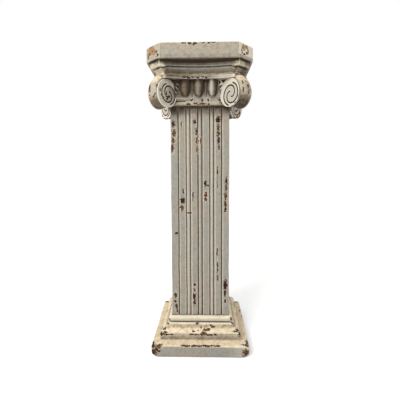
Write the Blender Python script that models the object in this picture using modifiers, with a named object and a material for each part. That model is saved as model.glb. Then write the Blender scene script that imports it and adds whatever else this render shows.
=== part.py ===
"""Column pedestal: a square fluted shaft on a moulded base, under an Ionic capital with four
corner scrolls and a cut-corner slab. It is cast in one piece. Metres, +Z up, origin at the
middle of the underside.
"""

import math

import bmesh
import bpy
from mathutils import Vector

# Overall size
HEIGHT = 0.762

# Base: square plinth, step, sloping moulding, ledge and torus
PLINTH_HALF = 0.125
PLINTH_HEIGHT = 0.032
PLINTH_ROUND = 0.0045
PLINTH_CROWN = 0.002
STEP_INSET = 0.020
STEP_HEIGHT = 0.0165
STEP_ROUND = 0.0015
SLOPE_RISE = 0.0195
SLOPE_RUN = 0.0175
SLOPE_WAVE = 0.0009
LEDGE_RUN = 0.002
LEDGE_RISE = 0.002
TORUS_RADIUS = 0.0085
TORUS_OUT = 0.0085

# Shaft: slightly tapered, with narrow V grooves that part wide and narrow bands
SHAFT_FOOT_HALF = 0.0758
SHAFT_TOP_HALF = 0.0728
SHAFT_CORNER_ROUND = 0.002
WIDE_BAND = 0.0205
NARROW_BAND = 0.0102
BANDS_A_SIDE = 7
GROOVE_WIDTH = 0.0028
GROOVE_DEPTH = 0.0022

# Top slab with cut corners
SLAB_THICKNESS = 0.034
SLAB_HALF = 0.1263
SLAB_CORNER_CUT = 0.0365
SLAB_TOP_ROUND = 0.0035
SLAB_FOOT_ROUND = 0.0015

# Neck moulding under the slab: its sides are hollow in plan and set in from the slab's face
NECK_HEIGHT = 0.040
NECK_INSET = 0.0228
NECK_SAGITTA = 0.012
NECK_CHORD = 0.172
NECK_BAND = 0.0115
NECK_FILLET = 0.0045
NECK_STEP_IN = 0.0055
COVE_DEPTH = 0.005
NECK_LIP = 0.0055
NECK_LIP_OUT = 0.0015
CUT_BAND_INSET = 0.0045
CUT_STEP_IN = 0.0065
CUT_COVE_IN = 0.0065
CUT_LIP_OUT = 0.0026

# Body of the capital: each part stands out from the top of the shaft by its own amount
ECHINUS_HEIGHT = 0.037
ECHINUS_OUT = 0.0137
ECHINUS_FLARE = 0.005
BELT_HEIGHT = 0.0085
BELT_BATTER = 0.0015
BELT_GROOVE = 0.0055
ASTRAGAL_RADIUS = 0.0058
ASTRAGAL_OUT = 0.0117
NECKING_OUT = 0.0037
NECKING_HEIGHT = 0.0012

# Eggs, shells, darts and husks on each side of the capital
EGGS_A_SIDE = 3
EGG_SPACING = 0.0327
EGG_WIDTH = 0.0200
EGG_OUT = 0.0105
EGG_NARROWING = 0.24
EGG_FULLNESS = 2.8
EGG_TUCK = 0.004
SHELL_GAP = 0.0016
SHELL_RADIUS = 0.0016
DART_RADIUS = 0.0019
DART_POINT = 0.0008
DART_POINT_LENGTH = 0.012
HUSKS_A_SCROLL = 2
HUSK_LENGTH = 0.015
HUSK_RADIUS = 0.0030
HUSK_GAP = 0.0095
HUSK_DROP = 0.007
HUSK_STEP = 0.0095
HUSK_SLOPE = 0.35

# Corner scrolls: each lies in the upright plane that runs out through a corner
SCROLL_WIDTH = 0.040
SCROLL_INSET = 0.0258
SCROLL_BELOW_NECK = 0.032
SCROLL_HALF_WIDTH = 0.0285
SCROLL_HALF_HEIGHT = 0.0325
ROLL_SHIFT_IN = 0.002
ROLL_RISE = 0.007
ROLL_SWELL_OUT = 0.006
ROLL_SWELL_UP = 0.0045
LIP_WIDTH = 0.0028
LIP_GROOVE = 0.0010

# Spiral grooves: shares of the scroll's radius, between two angles from the top in degrees
SPIRAL_TOOL = 0.0018
SPIRAL_OUTER = (0.86, 0.57)
SPIRAL_OUTER_TURN = (50, 170)
SPIRAL_OUTER_ANGLES = range(20, 211, 27)
SPIRAL_INNER = (0.38, 0.16)
SPIRAL_INNER_TURN = (215, 330)
SPIRAL_INNER_ANGLES = range(198, 339, 28)
SPIRAL_END_TAPER = (0.45, 0.8)

# How finely curves are faceted
SCROLL_SIDES = 20
ROLL_ANGLES = (25, 50, 90)
SIDE_STEPS = 60
ARC_POINTS = 3
SLOPE_POINTS = 6
COVE_POINTS = 7
SHELL_POINTS = 8

# Joined shapes run into each other by OVERLAP; ornament is set off its ground by SEAT
OVERLAP = 0.003
SEAT = 0.0006


def arc(centre, radius_x, radius_z, start, end, count=ARC_POINTS):
    """Points along an ellipse arc from the start angle to the end angle, in degrees."""
    points = []
    for i in range(count + 1):
        angle = math.radians(start + (end - start) * i / count)
        points.append((centre[0] + radius_x * math.cos(angle), centre[1] + radius_z * math.sin(angle)))
    return points


def blend(value, start, end, first, last):
    """Eased change from first to last while value goes from start to end."""
    share = min(max((value - start) / (end - start), 0.0), 1.0)
    return first + (last - first) * (1.0 - math.cos(math.pi * share)) / 2.0


def make_collection(name):
    collection = bpy.data.collections.new(name)
    bpy.context.scene.collection.children.link(collection)
    return collection


def place(name, mesh, collection, is_tool=True):
    """Put a mesh in the scene, as a hidden tool or as a finished solid."""
    piece = bpy.data.objects.new(name, mesh)
    collection.objects.link(piece)
    if is_tool:
        piece.hide_render = True
        piece.display_type = "WIRE"
    return piece


def mesh_from(name, builder):
    mesh = bpy.data.meshes.new(name)
    builder.to_mesh(mesh)
    builder.free()
    return mesh


def turned(name, outline, steps, direction, collection, axis=(0.0, 0.0)):
    """Solid turned round an upright axis from (radius, height) points that run top to bottom."""
    mesh = bpy.data.meshes.new(name)
    cos_d = math.cos(direction)
    sin_d = math.sin(direction)
    points = [(radius * cos_d, radius * sin_d, height) for radius, height in outline]
    mesh.from_pydata(points, [(i, i + 1) for i in range(len(points) - 1)], [])
    piece = place(name, mesh, collection)
    piece.location = (axis[0], axis[1], 0.0)
    screw = piece.modifiers.new("Turn", "SCREW")
    screw.axis = "Z"
    screw.angle = 2.0 * math.pi
    screw.steps = steps
    screw.render_steps = steps
    screw.use_merge_vertices = True
    screw.merge_threshold = 0.00001
    screw.use_smooth_shade = False
    return piece


def square(name, outline, collection):
    """Square-plan moulding: each radius in the outline is half of the side."""
    corner = [(half * math.sqrt(2.0), height) for half, height in outline]
    return turned(name, corner, 4, math.pi / 4.0, collection)


def diagonal_square(name, outline, collection):
    """Square turned by 45 degrees: its flats are the cut corners."""
    corner = [(distance * math.sqrt(2.0), height) for distance, height in outline]
    return turned(name, corner, 4, 0.0, collection)


def combine(piece, other, operation, name):
    boolean = piece.modifiers.new(name, "BOOLEAN")
    boolean.operation = operation
    boolean.solver = "EXACT"
    boolean.object = other
    return boolean


def combine_all(piece, group, operation, name):
    boolean = piece.modifiers.new(name, "BOOLEAN")
    boolean.operation = operation
    boolean.solver = "EXACT"
    boolean.operand_type = "COLLECTION"
    boolean.collection = group
    return boolean


def step_half():
    return PLINTH_HALF - STEP_INSET


def step_top():
    return PLINTH_HEIGHT + PLINTH_CROWN + STEP_HEIGHT


def ledge_top():
    return step_top() + SLOPE_RISE + LEDGE_RISE


def base_top():
    return ledge_top() + 2.0 * TORUS_RADIUS


def slope_outline():
    """Slope between the ledge and the step: it is hollow above and swells below."""
    points = []
    for i in range(SLOPE_POINTS):
        share = i / SLOPE_POINTS
        half = step_half() - SLOPE_RUN * (1.0 - share)
        height = step_top() + SLOPE_RISE * (1.0 - share)
        wave = SLOPE_WAVE * math.sin(2.0 * math.pi * share)
        points.append((half - wave, height - wave))
    return points


def base_outline():
    """Half width and height of the base, from the top of the torus down to the floor."""
    torus_middle = ledge_top() + TORUS_RADIUS
    plinth_edge = PLINTH_HALF - PLINTH_ROUND
    outline = [(0.0, base_top())]
    outline += arc((SHAFT_FOOT_HALF, torus_middle), TORUS_OUT, TORUS_RADIUS, 90, -90, 2 * ARC_POINTS)
    outline.append((step_half() - SLOPE_RUN - LEDGE_RUN, ledge_top()))
    outline += slope_outline()
    outline += arc((step_half() - STEP_ROUND, step_top() - STEP_ROUND), STEP_ROUND, STEP_ROUND, 90, 0, 2)
    outline.append((step_half(), PLINTH_HEIGHT + PLINTH_CROWN))
    outline += arc((plinth_edge, PLINTH_HEIGHT - PLINTH_ROUND), PLINTH_ROUND, PLINTH_ROUND, 90, 0)
    outline += arc((plinth_edge, PLINTH_ROUND), PLINTH_ROUND, PLINTH_ROUND, 0, -90)
    outline.append((0.0, 0.0))
    return outline


def slab_foot():
    return HEIGHT - SLAB_THICKNESS


def neck_foot():
    return slab_foot() - NECK_HEIGHT


def belt_top():
    return neck_foot() - ECHINUS_HEIGHT


def astragal_middle():
    return belt_top() - BELT_HEIGHT - ASTRAGAL_RADIUS


def capital_foot():
    return astragal_middle() - ASTRAGAL_RADIUS - NECKING_HEIGHT


def groove_places():
    """Places of the grooves across one side of the shaft, from its middle."""
    widths = [WIDE_BAND if i % 2 == 0 else NARROW_BAND for i in range(BANDS_A_SIDE)]
    places = [-sum(widths) / 2.0]
    for width in widths:
        places.append(places[-1] + width)
    return places


def shaft_side(half):
    """Points along one side of the shaft's section, from its left corner to its right corner."""
    points = [(-half + SHAFT_CORNER_ROUND, -half)]
    for middle in groove_places():
        points.append((middle - GROOVE_WIDTH / 2.0, -half))
        points.append((middle, -half + GROOVE_DEPTH))
        points.append((middle + GROOVE_WIDTH / 2.0, -half))
    points.append((half - SHAFT_CORNER_ROUND, -half))
    return points


def make_shaft(collection):
    """The section of the shaft, drawn up from inside the torus to inside the capital."""
    foot = base_top() - TORUS_RADIUS
    top = belt_top()
    builder = bmesh.new()
    corners = []
    for quarter in range(4):
        cos_q = math.cos(quarter * math.pi / 2.0)
        sin_q = math.sin(quarter * math.pi / 2.0)
        for x, y in shaft_side(SHAFT_FOOT_HALF):
            corners.append(builder.verts.new((x * cos_q - y * sin_q, x * sin_q + y * cos_q, foot)))
    section = builder.faces.new(corners)
    section.normal_flip()
    drawn = bmesh.ops.extrude_face_region(builder, geom=[section])
    taper = SHAFT_TOP_HALF / SHAFT_FOOT_HALF
    for vert in [item for item in drawn["geom"] if isinstance(item, bmesh.types.BMVert)]:
        vert.co = Vector((vert.co.x * taper, vert.co.y * taper, top))
    bmesh.ops.recalc_face_normals(builder, faces=builder.faces)
    return place("shaft", mesh_from("shaft", builder), collection)


def cut_distance():
    """Distance of a cut corner's face from the middle."""
    return (2.0 * SLAB_HALF - SLAB_CORNER_CUT) / math.sqrt(2.0)


def slab_outline(half):
    """Half width and height of the top slab with its two rounded edges."""
    foot = slab_foot()
    outline = [(0.0, HEIGHT)]
    outline += arc((half - SLAB_TOP_ROUND, HEIGHT - SLAB_TOP_ROUND), SLAB_TOP_ROUND, SLAB_TOP_ROUND, 90, 0)
    outline += arc(
        (half - SLAB_FOOT_ROUND, foot + SLAB_FOOT_ROUND), SLAB_FOOT_ROUND, SLAB_FOOT_ROUND, 0, -90, 2
    )
    outline.append((0.0, foot))
    return outline


def make_slab(collection, tools):
    slab = square("slab", slab_outline(SLAB_HALF), collection)
    cut = diagonal_square("slab_cut_corners", slab_outline(cut_distance()), tools)
    combine(slab, cut, "INTERSECT", "Cut corners")
    return slab


def neck_side_outline():
    """Distance of the neck's side from the middle, and height, from the slab down to the lip."""
    foot = neck_foot()
    band_foot = slab_foot() - NECK_BAND
    cove_top = band_foot - NECK_FILLET
    lip_top = foot + NECK_LIP
    band = SLAB_HALF - NECK_INSET
    fillet = band - NECK_STEP_IN
    lip = band + NECK_LIP_OUT
    outline = [(band, slab_foot() + 2.0 * OVERLAP), (band, band_foot)]
    outline += [(fillet, band_foot), (fillet, cove_top)]
    for i in range(1, COVE_POINTS + 1):
        share = i / (COVE_POINTS + 1)
        flare = (lip - fillet) * blend(share, 0.45, 1.0, 0.0, 1.0)
        hollow = COVE_DEPTH * math.sin(math.pi * min(share / 0.9, 1.0))
        outline.append((fillet + flare - hollow, cove_top + (lip_top - cove_top) * share))
    outline += [(lip, lip_top), (lip, foot - 2.0 * OVERLAP)]
    return outline


def neck_corner_outline():
    """Distance and height of the moulded cut corners of the neck."""
    foot = neck_foot()
    band_foot = slab_foot() - NECK_BAND
    cove_top = band_foot - NECK_FILLET
    lip_top = foot + NECK_LIP
    band = cut_distance() - CUT_BAND_INSET
    fillet = band - CUT_STEP_IN
    cove = fillet - CUT_COVE_IN
    cove_middle = (cove_top + lip_top) / 2.0
    outline = [(0.0, slab_foot() + OVERLAP), (band, slab_foot() + OVERLAP), (band, band_foot)]
    outline += [(fillet, band_foot), (fillet, cove_top)]
    outline += [((fillet + cove) / 2.0, (cove_top + cove_middle) / 2.0), (cove, cove_middle)]
    outline += [(cove + CUT_LIP_OUT, lip_top), (cove + CUT_LIP_OUT, foot), (0.0, foot)]
    return outline


def make_neck(collection, tools):
    """Moulded neck under the slab, hollowed in plan on its four sides by turned tools."""
    neck = diagonal_square("neck", neck_corner_outline(), collection)
    radius = ((NECK_CHORD / 2.0) ** 2 + NECK_SAGITTA**2) / (2.0 * NECK_SAGITTA)
    axis_out = SLAB_HALF - NECK_INSET + radius
    side = [(axis_out - out, height) for out, height in neck_side_outline()]
    side = [(0.0, side[0][1])] + side + [(0.0, side[-1][1])]
    for i in range(4):
        angle = i * math.pi / 2.0
        axis = (axis_out * math.cos(angle), axis_out * math.sin(angle))
        tool = turned(f"neck_hollow_{i}", side, SIDE_STEPS, angle, tools, axis)
        combine(neck, tool, "DIFFERENCE", f"Hollow side {i}")
    return neck


def make_core(collection):
    """Square body of the capital: echinus, belt and astragal."""
    belt_foot = belt_top() - BELT_HEIGHT
    echinus_foot = SHAFT_TOP_HALF + ECHINUS_OUT
    echinus_top = echinus_foot + ECHINUS_FLARE
    seat = SHAFT_TOP_HALF + ASTRAGAL_OUT - ASTRAGAL_RADIUS
    outline = [(0.0, neck_foot() + 2.0 * OVERLAP), (echinus_top, neck_foot() + 2.0 * OVERLAP)]
    outline += [(echinus_top, neck_foot()), (echinus_foot, belt_top())]
    outline += [(echinus_foot - BELT_BATTER, belt_foot), (echinus_foot - BELT_GROOVE, belt_foot)]
    outline += arc((seat, astragal_middle()), ASTRAGAL_RADIUS, ASTRAGAL_RADIUS, 75, -90, 2 * ARC_POINTS)
    outline += [(SHAFT_TOP_HALF + NECKING_OUT, capital_foot()), (0.0, capital_foot())]
    return square("core", outline, collection)


def on_side(x, out, height, side):
    """Point on one of the four sides: along the side, out from the middle and up."""
    cos_s = math.cos(side * math.pi / 2.0)
    sin_s = math.sin(side * math.pi / 2.0)
    return Vector((x * cos_s + out * sin_s, x * sin_s - out * cos_s, height))


def echinus_face(height):
    share = (height - belt_top()) / ECHINUS_HEIGHT
    return SHAFT_TOP_HALF + ECHINUS_OUT + ECHINUS_FLARE * share


def egg_half_height():
    return (ECHINUS_HEIGHT + EGG_TUCK) / 2.0


def egg_middle():
    return belt_top() + egg_half_height()


def egg_fill(rise):
    """How much wider the full-sided egg is than a ball, from its middle, 0, to its ends, 1."""
    ball = math.sqrt(max(1.0 - rise * rise, 0.0))
    if ball < 0.01:
        return 1.0
    return (1.0 - abs(rise) ** EGG_FULLNESS) ** (1.0 / EGG_FULLNESS) / ball


def make_egg(name, x, side, collection):
    """Full-sided egg that narrows towards its foot and is half sunk in the echinus."""
    builder = bmesh.new()
    bmesh.ops.create_uvsphere(builder, u_segments=10, v_segments=8, radius=1.0)
    for vert in builder.verts:
        narrow = (1.0 - EGG_NARROWING * max(-vert.co.z, 0.0)) * egg_fill(vert.co.z)
        along = x + EGG_WIDTH / 2.0 * narrow * vert.co.x
        height = egg_middle() + egg_half_height() * vert.co.z
        out = echinus_face(height) - SEAT - EGG_OUT * narrow * vert.co.y
        vert.co = on_side(along, out, height, side)
    bmesh.ops.recalc_face_normals(builder, faces=builder.faces)
    return place(name, mesh_from(name, builder), collection)


def tube(name, points, radii, collection, roundness=1):
    """Tube along points with a radius at each, as a mesh with welded caps."""
    curve = bpy.data.curves.new(name, "CURVE")
    curve.dimensions = "3D"
    curve.bevel_depth = 1.0
    curve.bevel_resolution = roundness
    curve.use_fill_caps = True
    spline = curve.splines.new("POLY")
    spline.points.add(len(points) - 1)
    for slot, point, radius in zip(spline.points, points, radii):
        slot.co = (point[0], point[1], point[2], 1.0)
        slot.radius = radius
    guide = bpy.data.objects.new(name, curve)
    collection.objects.link(guide)
    depsgraph = bpy.context.evaluated_depsgraph_get()
    mesh = bpy.data.meshes.new_from_object(guide.evaluated_get(depsgraph))
    builder = bmesh.new()
    builder.from_mesh(mesh)
    bmesh.ops.remove_doubles(builder, verts=builder.verts, dist=0.00002)
    bmesh.ops.recalc_face_normals(builder, faces=builder.faces)
    builder.to_mesh(mesh)
    builder.free()
    bpy.data.objects.remove(guide)
    return place(name, mesh, collection)


def make_shell(name, x, side, collection):
    """Raised rim that runs down one flank of an egg, under it and up the other flank."""
    flank = EGG_WIDTH / 2.0 + SHELL_GAP
    depth = egg_half_height() + SHELL_GAP / 2.0
    top = neck_foot() + OVERLAP
    points = [on_side(x - flank, echinus_face(top) + SEAT, top, side)]
    for i in range(SHELL_POINTS + 1):
        angle = math.pi * (1.0 + i / SHELL_POINTS)
        height = egg_middle() + depth * math.sin(angle)
        along = flank * (1.0 + EGG_NARROWING * math.sin(angle)) * math.cos(angle)
        points.append(on_side(x + along, echinus_face(height) + SEAT, height, side))
    points.append(on_side(x + flank, echinus_face(top) + SEAT, top, side))
    return tube(name, points, [SHELL_RADIUS] * len(points), collection, 0)


def make_dart(name, x, side, collection):
    """Slim spear between two shells, full under the neck and pointed at the belt."""
    points = []
    for height in (neck_foot() + OVERLAP, belt_top() + DART_POINT_LENGTH, belt_top()):
        points.append(on_side(x, echinus_face(height) + SEAT, height, side))
    return tube(name, points, [DART_RADIUS, DART_RADIUS, DART_POINT], collection)


def make_husk(name, sign, drop, side, collection):
    """One leaf tip that points from a scroll towards the eggs and droops towards them."""
    builder = bmesh.new()
    bmesh.ops.create_uvsphere(builder, u_segments=6, v_segments=5, radius=1.0)
    middle = neck_foot() - drop
    scroll_edge = echinus_face(middle) - SCROLL_WIDTH / math.sqrt(2.0)
    for vert in builder.verts:
        reach = vert.co.x * HUSK_LENGTH / 2.0
        taper = (1.0 + vert.co.x) / 2.0 + DART_POINT / HUSK_RADIUS
        height = middle + HUSK_RADIUS * vert.co.z * taper + HUSK_SLOPE * reach
        out = echinus_face(height) + SEAT - HUSK_RADIUS * vert.co.y * taper
        vert.co = on_side(sign * (scroll_edge - HUSK_GAP + reach), out, height, side)
    bmesh.ops.recalc_face_normals(builder, faces=builder.faces)
    return place(name, mesh_from(name, builder), collection)


def scroll_out():
    return cut_distance() - SCROLL_INSET


def scroll_middle():
    return neck_foot() - SCROLL_BELOW_NECK


def scroll_place(out, across, height, corner):
    """Point in the upright plane through a corner: out from the middle, across the plane and up."""
    cos_c = math.cos(math.pi / 4.0 + corner * math.pi / 2.0)
    sin_c = math.sin(math.pi / 4.0 + corner * math.pi / 2.0)
    return Vector((out * cos_c - across * sin_c, out * sin_c + across * cos_c, height))


def scroll_rings():
    """For each ring: its distance across, its growth from face to roll, and how far it shrinks."""
    edge = SCROLL_WIDTH / 2.0
    roll = edge - LIP_WIDTH
    foot = roll - LIP_GROOVE
    rings = [(edge, 0.0, 0.0), (roll, 0.0, 0.0), (foot, 0.0, LIP_GROOVE)]
    for degrees in ROLL_ANGLES:
        angle = math.radians(degrees)
        rings.append((foot * math.cos(angle), math.sin(angle), 0.0))
    return rings + [(-across, grow, shrink) for across, grow, shrink in reversed(rings[:-1])]


def make_scroll(corner, collection):
    """Body of a corner scroll: two flat faces with a lip each, and a swelling roll between."""
    builder = bmesh.new()
    rings = []
    for across, grow, shrink in scroll_rings():
        out_middle = scroll_out() - ROLL_SHIFT_IN * grow
        up_middle = scroll_middle() + ROLL_RISE * grow
        half_width = SCROLL_HALF_WIDTH + ROLL_SWELL_OUT * grow - shrink
        half_height = SCROLL_HALF_HEIGHT + ROLL_SWELL_UP * grow - shrink
        ring = []
        for i in range(SCROLL_SIDES):
            angle = 2.0 * math.pi * i / SCROLL_SIDES
            out = out_middle + half_width * math.cos(angle)
            height = up_middle + half_height * math.sin(angle)
            ring.append(builder.verts.new(scroll_place(out, across, height, corner)))
        rings.append(ring)
    for first, second in zip(rings, rings[1:]):
        for i in range(SCROLL_SIDES):
            j = (i + 1) % SCROLL_SIDES
            builder.faces.new((first[i], second[i], second[j], first[j]))
    builder.faces.new(rings[0])
    builder.faces.new(list(reversed(rings[-1])))
    bmesh.ops.recalc_face_normals(builder, faces=builder.faces)
    return place(f"scroll_{corner}", mesh_from(f"scroll_{corner}", builder), collection)


def spiral_grooves():
    """Angle from the top and share of the radius, for the outer and the inner groove of an arm."""
    outer = [(angle, blend(angle, *SPIRAL_OUTER_TURN, *SPIRAL_OUTER)) for angle in SPIRAL_OUTER_ANGLES]
    inner = [(angle, blend(angle, *SPIRAL_INNER_TURN, *SPIRAL_INNER)) for angle in SPIRAL_INNER_ANGLES]
    return outer, inner


def make_spiral(corner, face, collection):
    """Tools that cut the two-armed spiral groove in one face of a scroll."""
    across = face * (SCROLL_WIDTH / 2.0 + SEAT / 2.0)
    for arm in range(2):
        for part, groove in enumerate(spiral_grooves()):
            points = []
            radii = []
            for i, (degrees, share) in enumerate(groove):
                angle = math.radians(degrees + 180.0 * arm)
                out = scroll_out() + SCROLL_HALF_WIDTH * share * math.sin(angle)
                height = scroll_middle() + SCROLL_HALF_HEIGHT * share * math.cos(angle)
                points.append(scroll_place(out, across, height, corner))
                from_end = min(i, len(groove) - 1 - i)
                taper = SPIRAL_END_TAPER[from_end] if from_end < len(SPIRAL_END_TAPER) else 1.0
                radii.append(SPIRAL_TOOL * taper)
            tube(f"spiral_{corner}_{face}_{arm}_{part}", points, radii, collection)


def places_along(count):
    """Evenly spaced places along a side, centred on its middle."""
    return [(i - (count - 1) / 2.0) * EGG_SPACING for i in range(count)]


def make_ornament(collection):
    """Eggs, shells, darts and husks, the same on each side."""
    for side in range(4):
        for i, x in enumerate(places_along(EGGS_A_SIDE)):
            make_egg(f"egg_{side}_{i}", x, side, collection)
            make_shell(f"shell_{side}_{i}", x, side, collection)
        for i, x in enumerate(places_along(EGGS_A_SIDE - 1)):
            make_dart(f"dart_{side}_{i}", x, side, collection)
        for sign in (-1, 1):
            for i in range(HUSKS_A_SCROLL):
                make_husk(f"husk_{side}_{sign}_{i}", sign, HUSK_DROP + i * HUSK_STEP, side, collection)


def paint():
    material = bpy.data.materials.new("aged_antique_white_paint")
    material.use_nodes = True
    shader = material.node_tree.nodes["Principled BSDF"]
    shader.inputs["Base Color"].default_value = (0.62, 0.57, 0.48, 1.0)
    shader.inputs["Roughness"].default_value = 0.75
    shader.inputs["Metallic"].default_value = 0.0
    return material


def main():
    for item in list(bpy.data.objects):
        bpy.data.objects.remove(item)
    parts = make_collection("column_pedestal")
    additions = make_collection("joined_shapes")
    cuts = make_collection("cutters")
    tools = make_collection("shaping_tools")

    make_shaft(additions)
    make_slab(additions, tools)
    make_neck(additions, tools)
    make_core(additions)
    for corner in range(4):
        make_scroll(corner, additions)
        for face in (-1, 1):
            make_spiral(corner, face, cuts)
    make_ornament(additions)

    pedestal = square("column_pedestal", base_outline(), parts)
    pedestal.hide_render = False
    pedestal.display_type = "SOLID"
    pedestal.data.materials.append(paint())
    combine_all(pedestal, additions, "UNION", "Join shapes")
    combine_all(pedestal, cuts, "DIFFERENCE", "Cut spirals")


main()
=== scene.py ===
import math

import bmesh
import bpy
import numpy as np
from mathutils import Matrix, Vector
from mathutils.bvhtree import BVHTree


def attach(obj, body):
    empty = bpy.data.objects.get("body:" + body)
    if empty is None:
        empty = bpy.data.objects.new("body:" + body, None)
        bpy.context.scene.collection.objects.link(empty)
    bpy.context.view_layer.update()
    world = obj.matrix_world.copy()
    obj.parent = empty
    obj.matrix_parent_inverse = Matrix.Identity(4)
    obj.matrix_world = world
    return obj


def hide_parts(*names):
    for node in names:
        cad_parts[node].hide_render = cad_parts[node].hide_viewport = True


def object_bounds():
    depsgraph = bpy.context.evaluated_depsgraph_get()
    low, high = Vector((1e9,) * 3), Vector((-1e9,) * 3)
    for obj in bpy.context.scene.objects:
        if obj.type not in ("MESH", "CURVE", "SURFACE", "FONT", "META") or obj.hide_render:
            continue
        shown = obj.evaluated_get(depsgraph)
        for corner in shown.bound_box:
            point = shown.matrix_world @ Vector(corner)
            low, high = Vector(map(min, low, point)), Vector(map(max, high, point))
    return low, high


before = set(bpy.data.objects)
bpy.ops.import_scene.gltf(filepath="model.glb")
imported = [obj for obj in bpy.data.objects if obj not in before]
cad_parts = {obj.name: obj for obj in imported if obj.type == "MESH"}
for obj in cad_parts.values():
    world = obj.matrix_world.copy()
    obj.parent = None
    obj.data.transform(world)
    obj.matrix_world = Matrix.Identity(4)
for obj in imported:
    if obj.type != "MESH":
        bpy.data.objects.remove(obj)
cad_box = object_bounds()

# Lengths below are in millimetres, from the middle of the underside: x to the right, y away from
# the camera, z up. They become metres when a mesh is made.


# The base: a square plinth, a step, a sloping moulding, a thin ledge and a rounded bead, poured in
# one with the rest in a cement-like mix. Its edges came soft out of the mould and its corners have
# since been knocked, so brown casting shows there.
PLINTH_HALF = 125.0
PLINTH_HEIGHT = 32.0
PLINTH_ROUND = 4.5
PLINTH_CROWN = 2.0
STEP_HALF = 105.0
STEP_TOP = 50.5
STEP_ROUND = 0.8
SLOPE_RISE = 19.5
SLOPE_RUN = 17.5
SLOPE_WAVE = 0.9
LEDGE_RUN = 2.0
LEDGE_TOP = 72.0
BEAD_RADIUS = 8.5
BEAD_MIDDLE_HALF = 75.8
BASE_GRAIN = 2.2
BASE_POINTS_A_SIDE = 104
SLOPE_STEPS = 14
FOOT_KNOCK_START = 106.0
FOOT_KNOCK_HEIGHT = 14.0
FOOT_KNOCK = 0.075


def arc(middle, radius, start, end, count):
    """Points on a quarter or half round, from the start to the end angle in degrees."""
    angles = np.radians(np.linspace(start, end, count + 1))
    return [(middle[0] + radius * math.cos(a), middle[1] + radius * math.sin(a)) for a in angles]


def spaced(outline, step):
    """The outline with points added, so that none is further than step from the next."""
    points = [np.array(outline[0], float)]
    for first, second in zip(outline, outline[1:]):
        first = np.array(first, float)
        second = np.array(second, float)
        count = max(1, math.ceil(np.linalg.norm(second - first) / step))
        points += [first + (second - first) * (i + 1) / count for i in range(count)]
    return np.array(points)


def four_sides(side):
    """A plan that goes round the column from the points of its front side, left to right."""
    turns = []
    for quarter in range(4):
        cos_q = round(math.cos(quarter * math.pi / 2))
        sin_q = round(math.sin(quarter * math.pi / 2))
        x, y = side.T
        turns.append(np.column_stack((x * cos_q - y * sin_q, x * sin_q + y * cos_q)))
    return np.vstack(turns)


def square_plan(half, count):
    along = np.linspace(-half, half, count + 1)[:-1]
    return four_sides(np.column_stack((along, np.full(count, -half))))


def level(plan, height):
    return np.column_stack((plan, np.full(len(plan), height)))


def soften(rings, around, down):
    """Rounds the upright arrises, then the level ones, as a mould and thick paint do."""
    for i in range(around):
        rings = (np.roll(rings, 1, axis=1) + 2 * rings + np.roll(rings, -1, axis=1)) / 4
    for i in range(down):
        inner = (rings[:-2] + 2 * rings[1:-1] + rings[2:]) / 4
        rings = np.concatenate((rings[:1], inner, rings[-1:]))
    return rings


def on_side(points):
    """How far along its own side each point is, left to right from outside, and how far out."""
    x, y = points[:, 0], points[:, 1]
    outs = np.array((-y, x, y, -x))
    side = outs.argmax(axis=0)
    row = np.arange(len(points))
    return np.array((x, y, -x, -y))[side, row], outs[side, row]


def bump_at(value, middle, reach):
    """A smooth hump of height 1 at a middle value."""
    return np.exp(-((value - middle) / reach) ** 2)


def rise_from(value, start, end):
    """0 up to the start, 1 beyond the end, smooth between."""
    share = np.clip((value - start) / (end - start), 0.0, 1.0)
    return share * share * (3 - 2 * share)


def uneven(points, seed=7):
    """Hand-made unevenness: the whole casting wanders by a few tenths of a millimetre."""
    rng = np.random.default_rng(seed)
    moved = points.copy()
    for length, size in ((120.0, 0.35), (46.0, 0.22), (17.0, 0.10)):
        for i in range(4):
            direction = rng.normal(size=3)
            direction /= np.linalg.norm(direction)
            push = rng.normal(size=3) * (1.0, 1.0, 0.0)
            wave = np.sin(points @ direction * 2 * math.pi / length + rng.uniform(0, 2 * math.pi))
            moved += np.outer(wave, push) * size / 2
    return moved


def make_mesh(name, points, faces):
    """A closed mesh in metres that keeps inside the casting's own box, with its faces turned out."""
    points = uneven(np.asarray(points, float)) / 1000
    points = np.clip(points, np.array(cad_box[0]), np.array(cad_box[1]))
    mesh = bpy.data.meshes.new(name)
    mesh.from_pydata(points.tolist(), [], faces)
    builder = bmesh.new()
    builder.from_mesh(mesh)
    bmesh.ops.recalc_face_normals(builder, faces=builder.faces)
    builder.to_mesh(mesh)
    builder.free()
    mesh.shade_smooth()
    piece = bpy.data.objects.new(name, mesh)
    bpy.context.scene.collection.objects.link(piece)
    return piece


def skin_faces(rows, count, start=0):
    """Faces between rings of count points, with a fan at each end to a middle point."""
    faces = []
    for row in range(rows - 1):
        above = start + row * count
        for i in range(count):
            j = (i + 1) % count
            faces.append((above + i, above + count + i, above + count + j, above + j))
    last = start + (rows - 1) * count
    first_middle = start + rows * count
    for i in range(count):
        j = (i + 1) % count
        faces.append((start + i, start + j, first_middle))
        faces.append((last + j, last + i, first_middle + 1))
    return faces


def skin(name, rings):
    rows, count = rings.shape[:2]
    points = np.vstack((rings.reshape(-1, 3), rings[0].mean(axis=0), rings[-1].mean(axis=0)))
    return make_mesh(name, points, skin_faces(rows, count))


def read_points(mesh):
    points = np.zeros(len(mesh.vertices) * 3)
    normals = np.zeros(len(mesh.vertices) * 3)
    mesh.vertices.foreach_get("co", points)
    mesh.vertex_normals.foreach_get("vector", normals)
    return points.reshape(-1, 3), normals.reshape(-1, 3)


def write_values(mesh, name, values):
    attribute = mesh.attributes.get(name) or mesh.attributes.new(name, "FLOAT", "POINT")
    attribute.data.foreach_set("value", np.asarray(values, np.float32))


CHIP_DEPTH = 0.9
CHIP_SLOPE = 1.6
FAR_FROM_A_CHIP = -1.5


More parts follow.
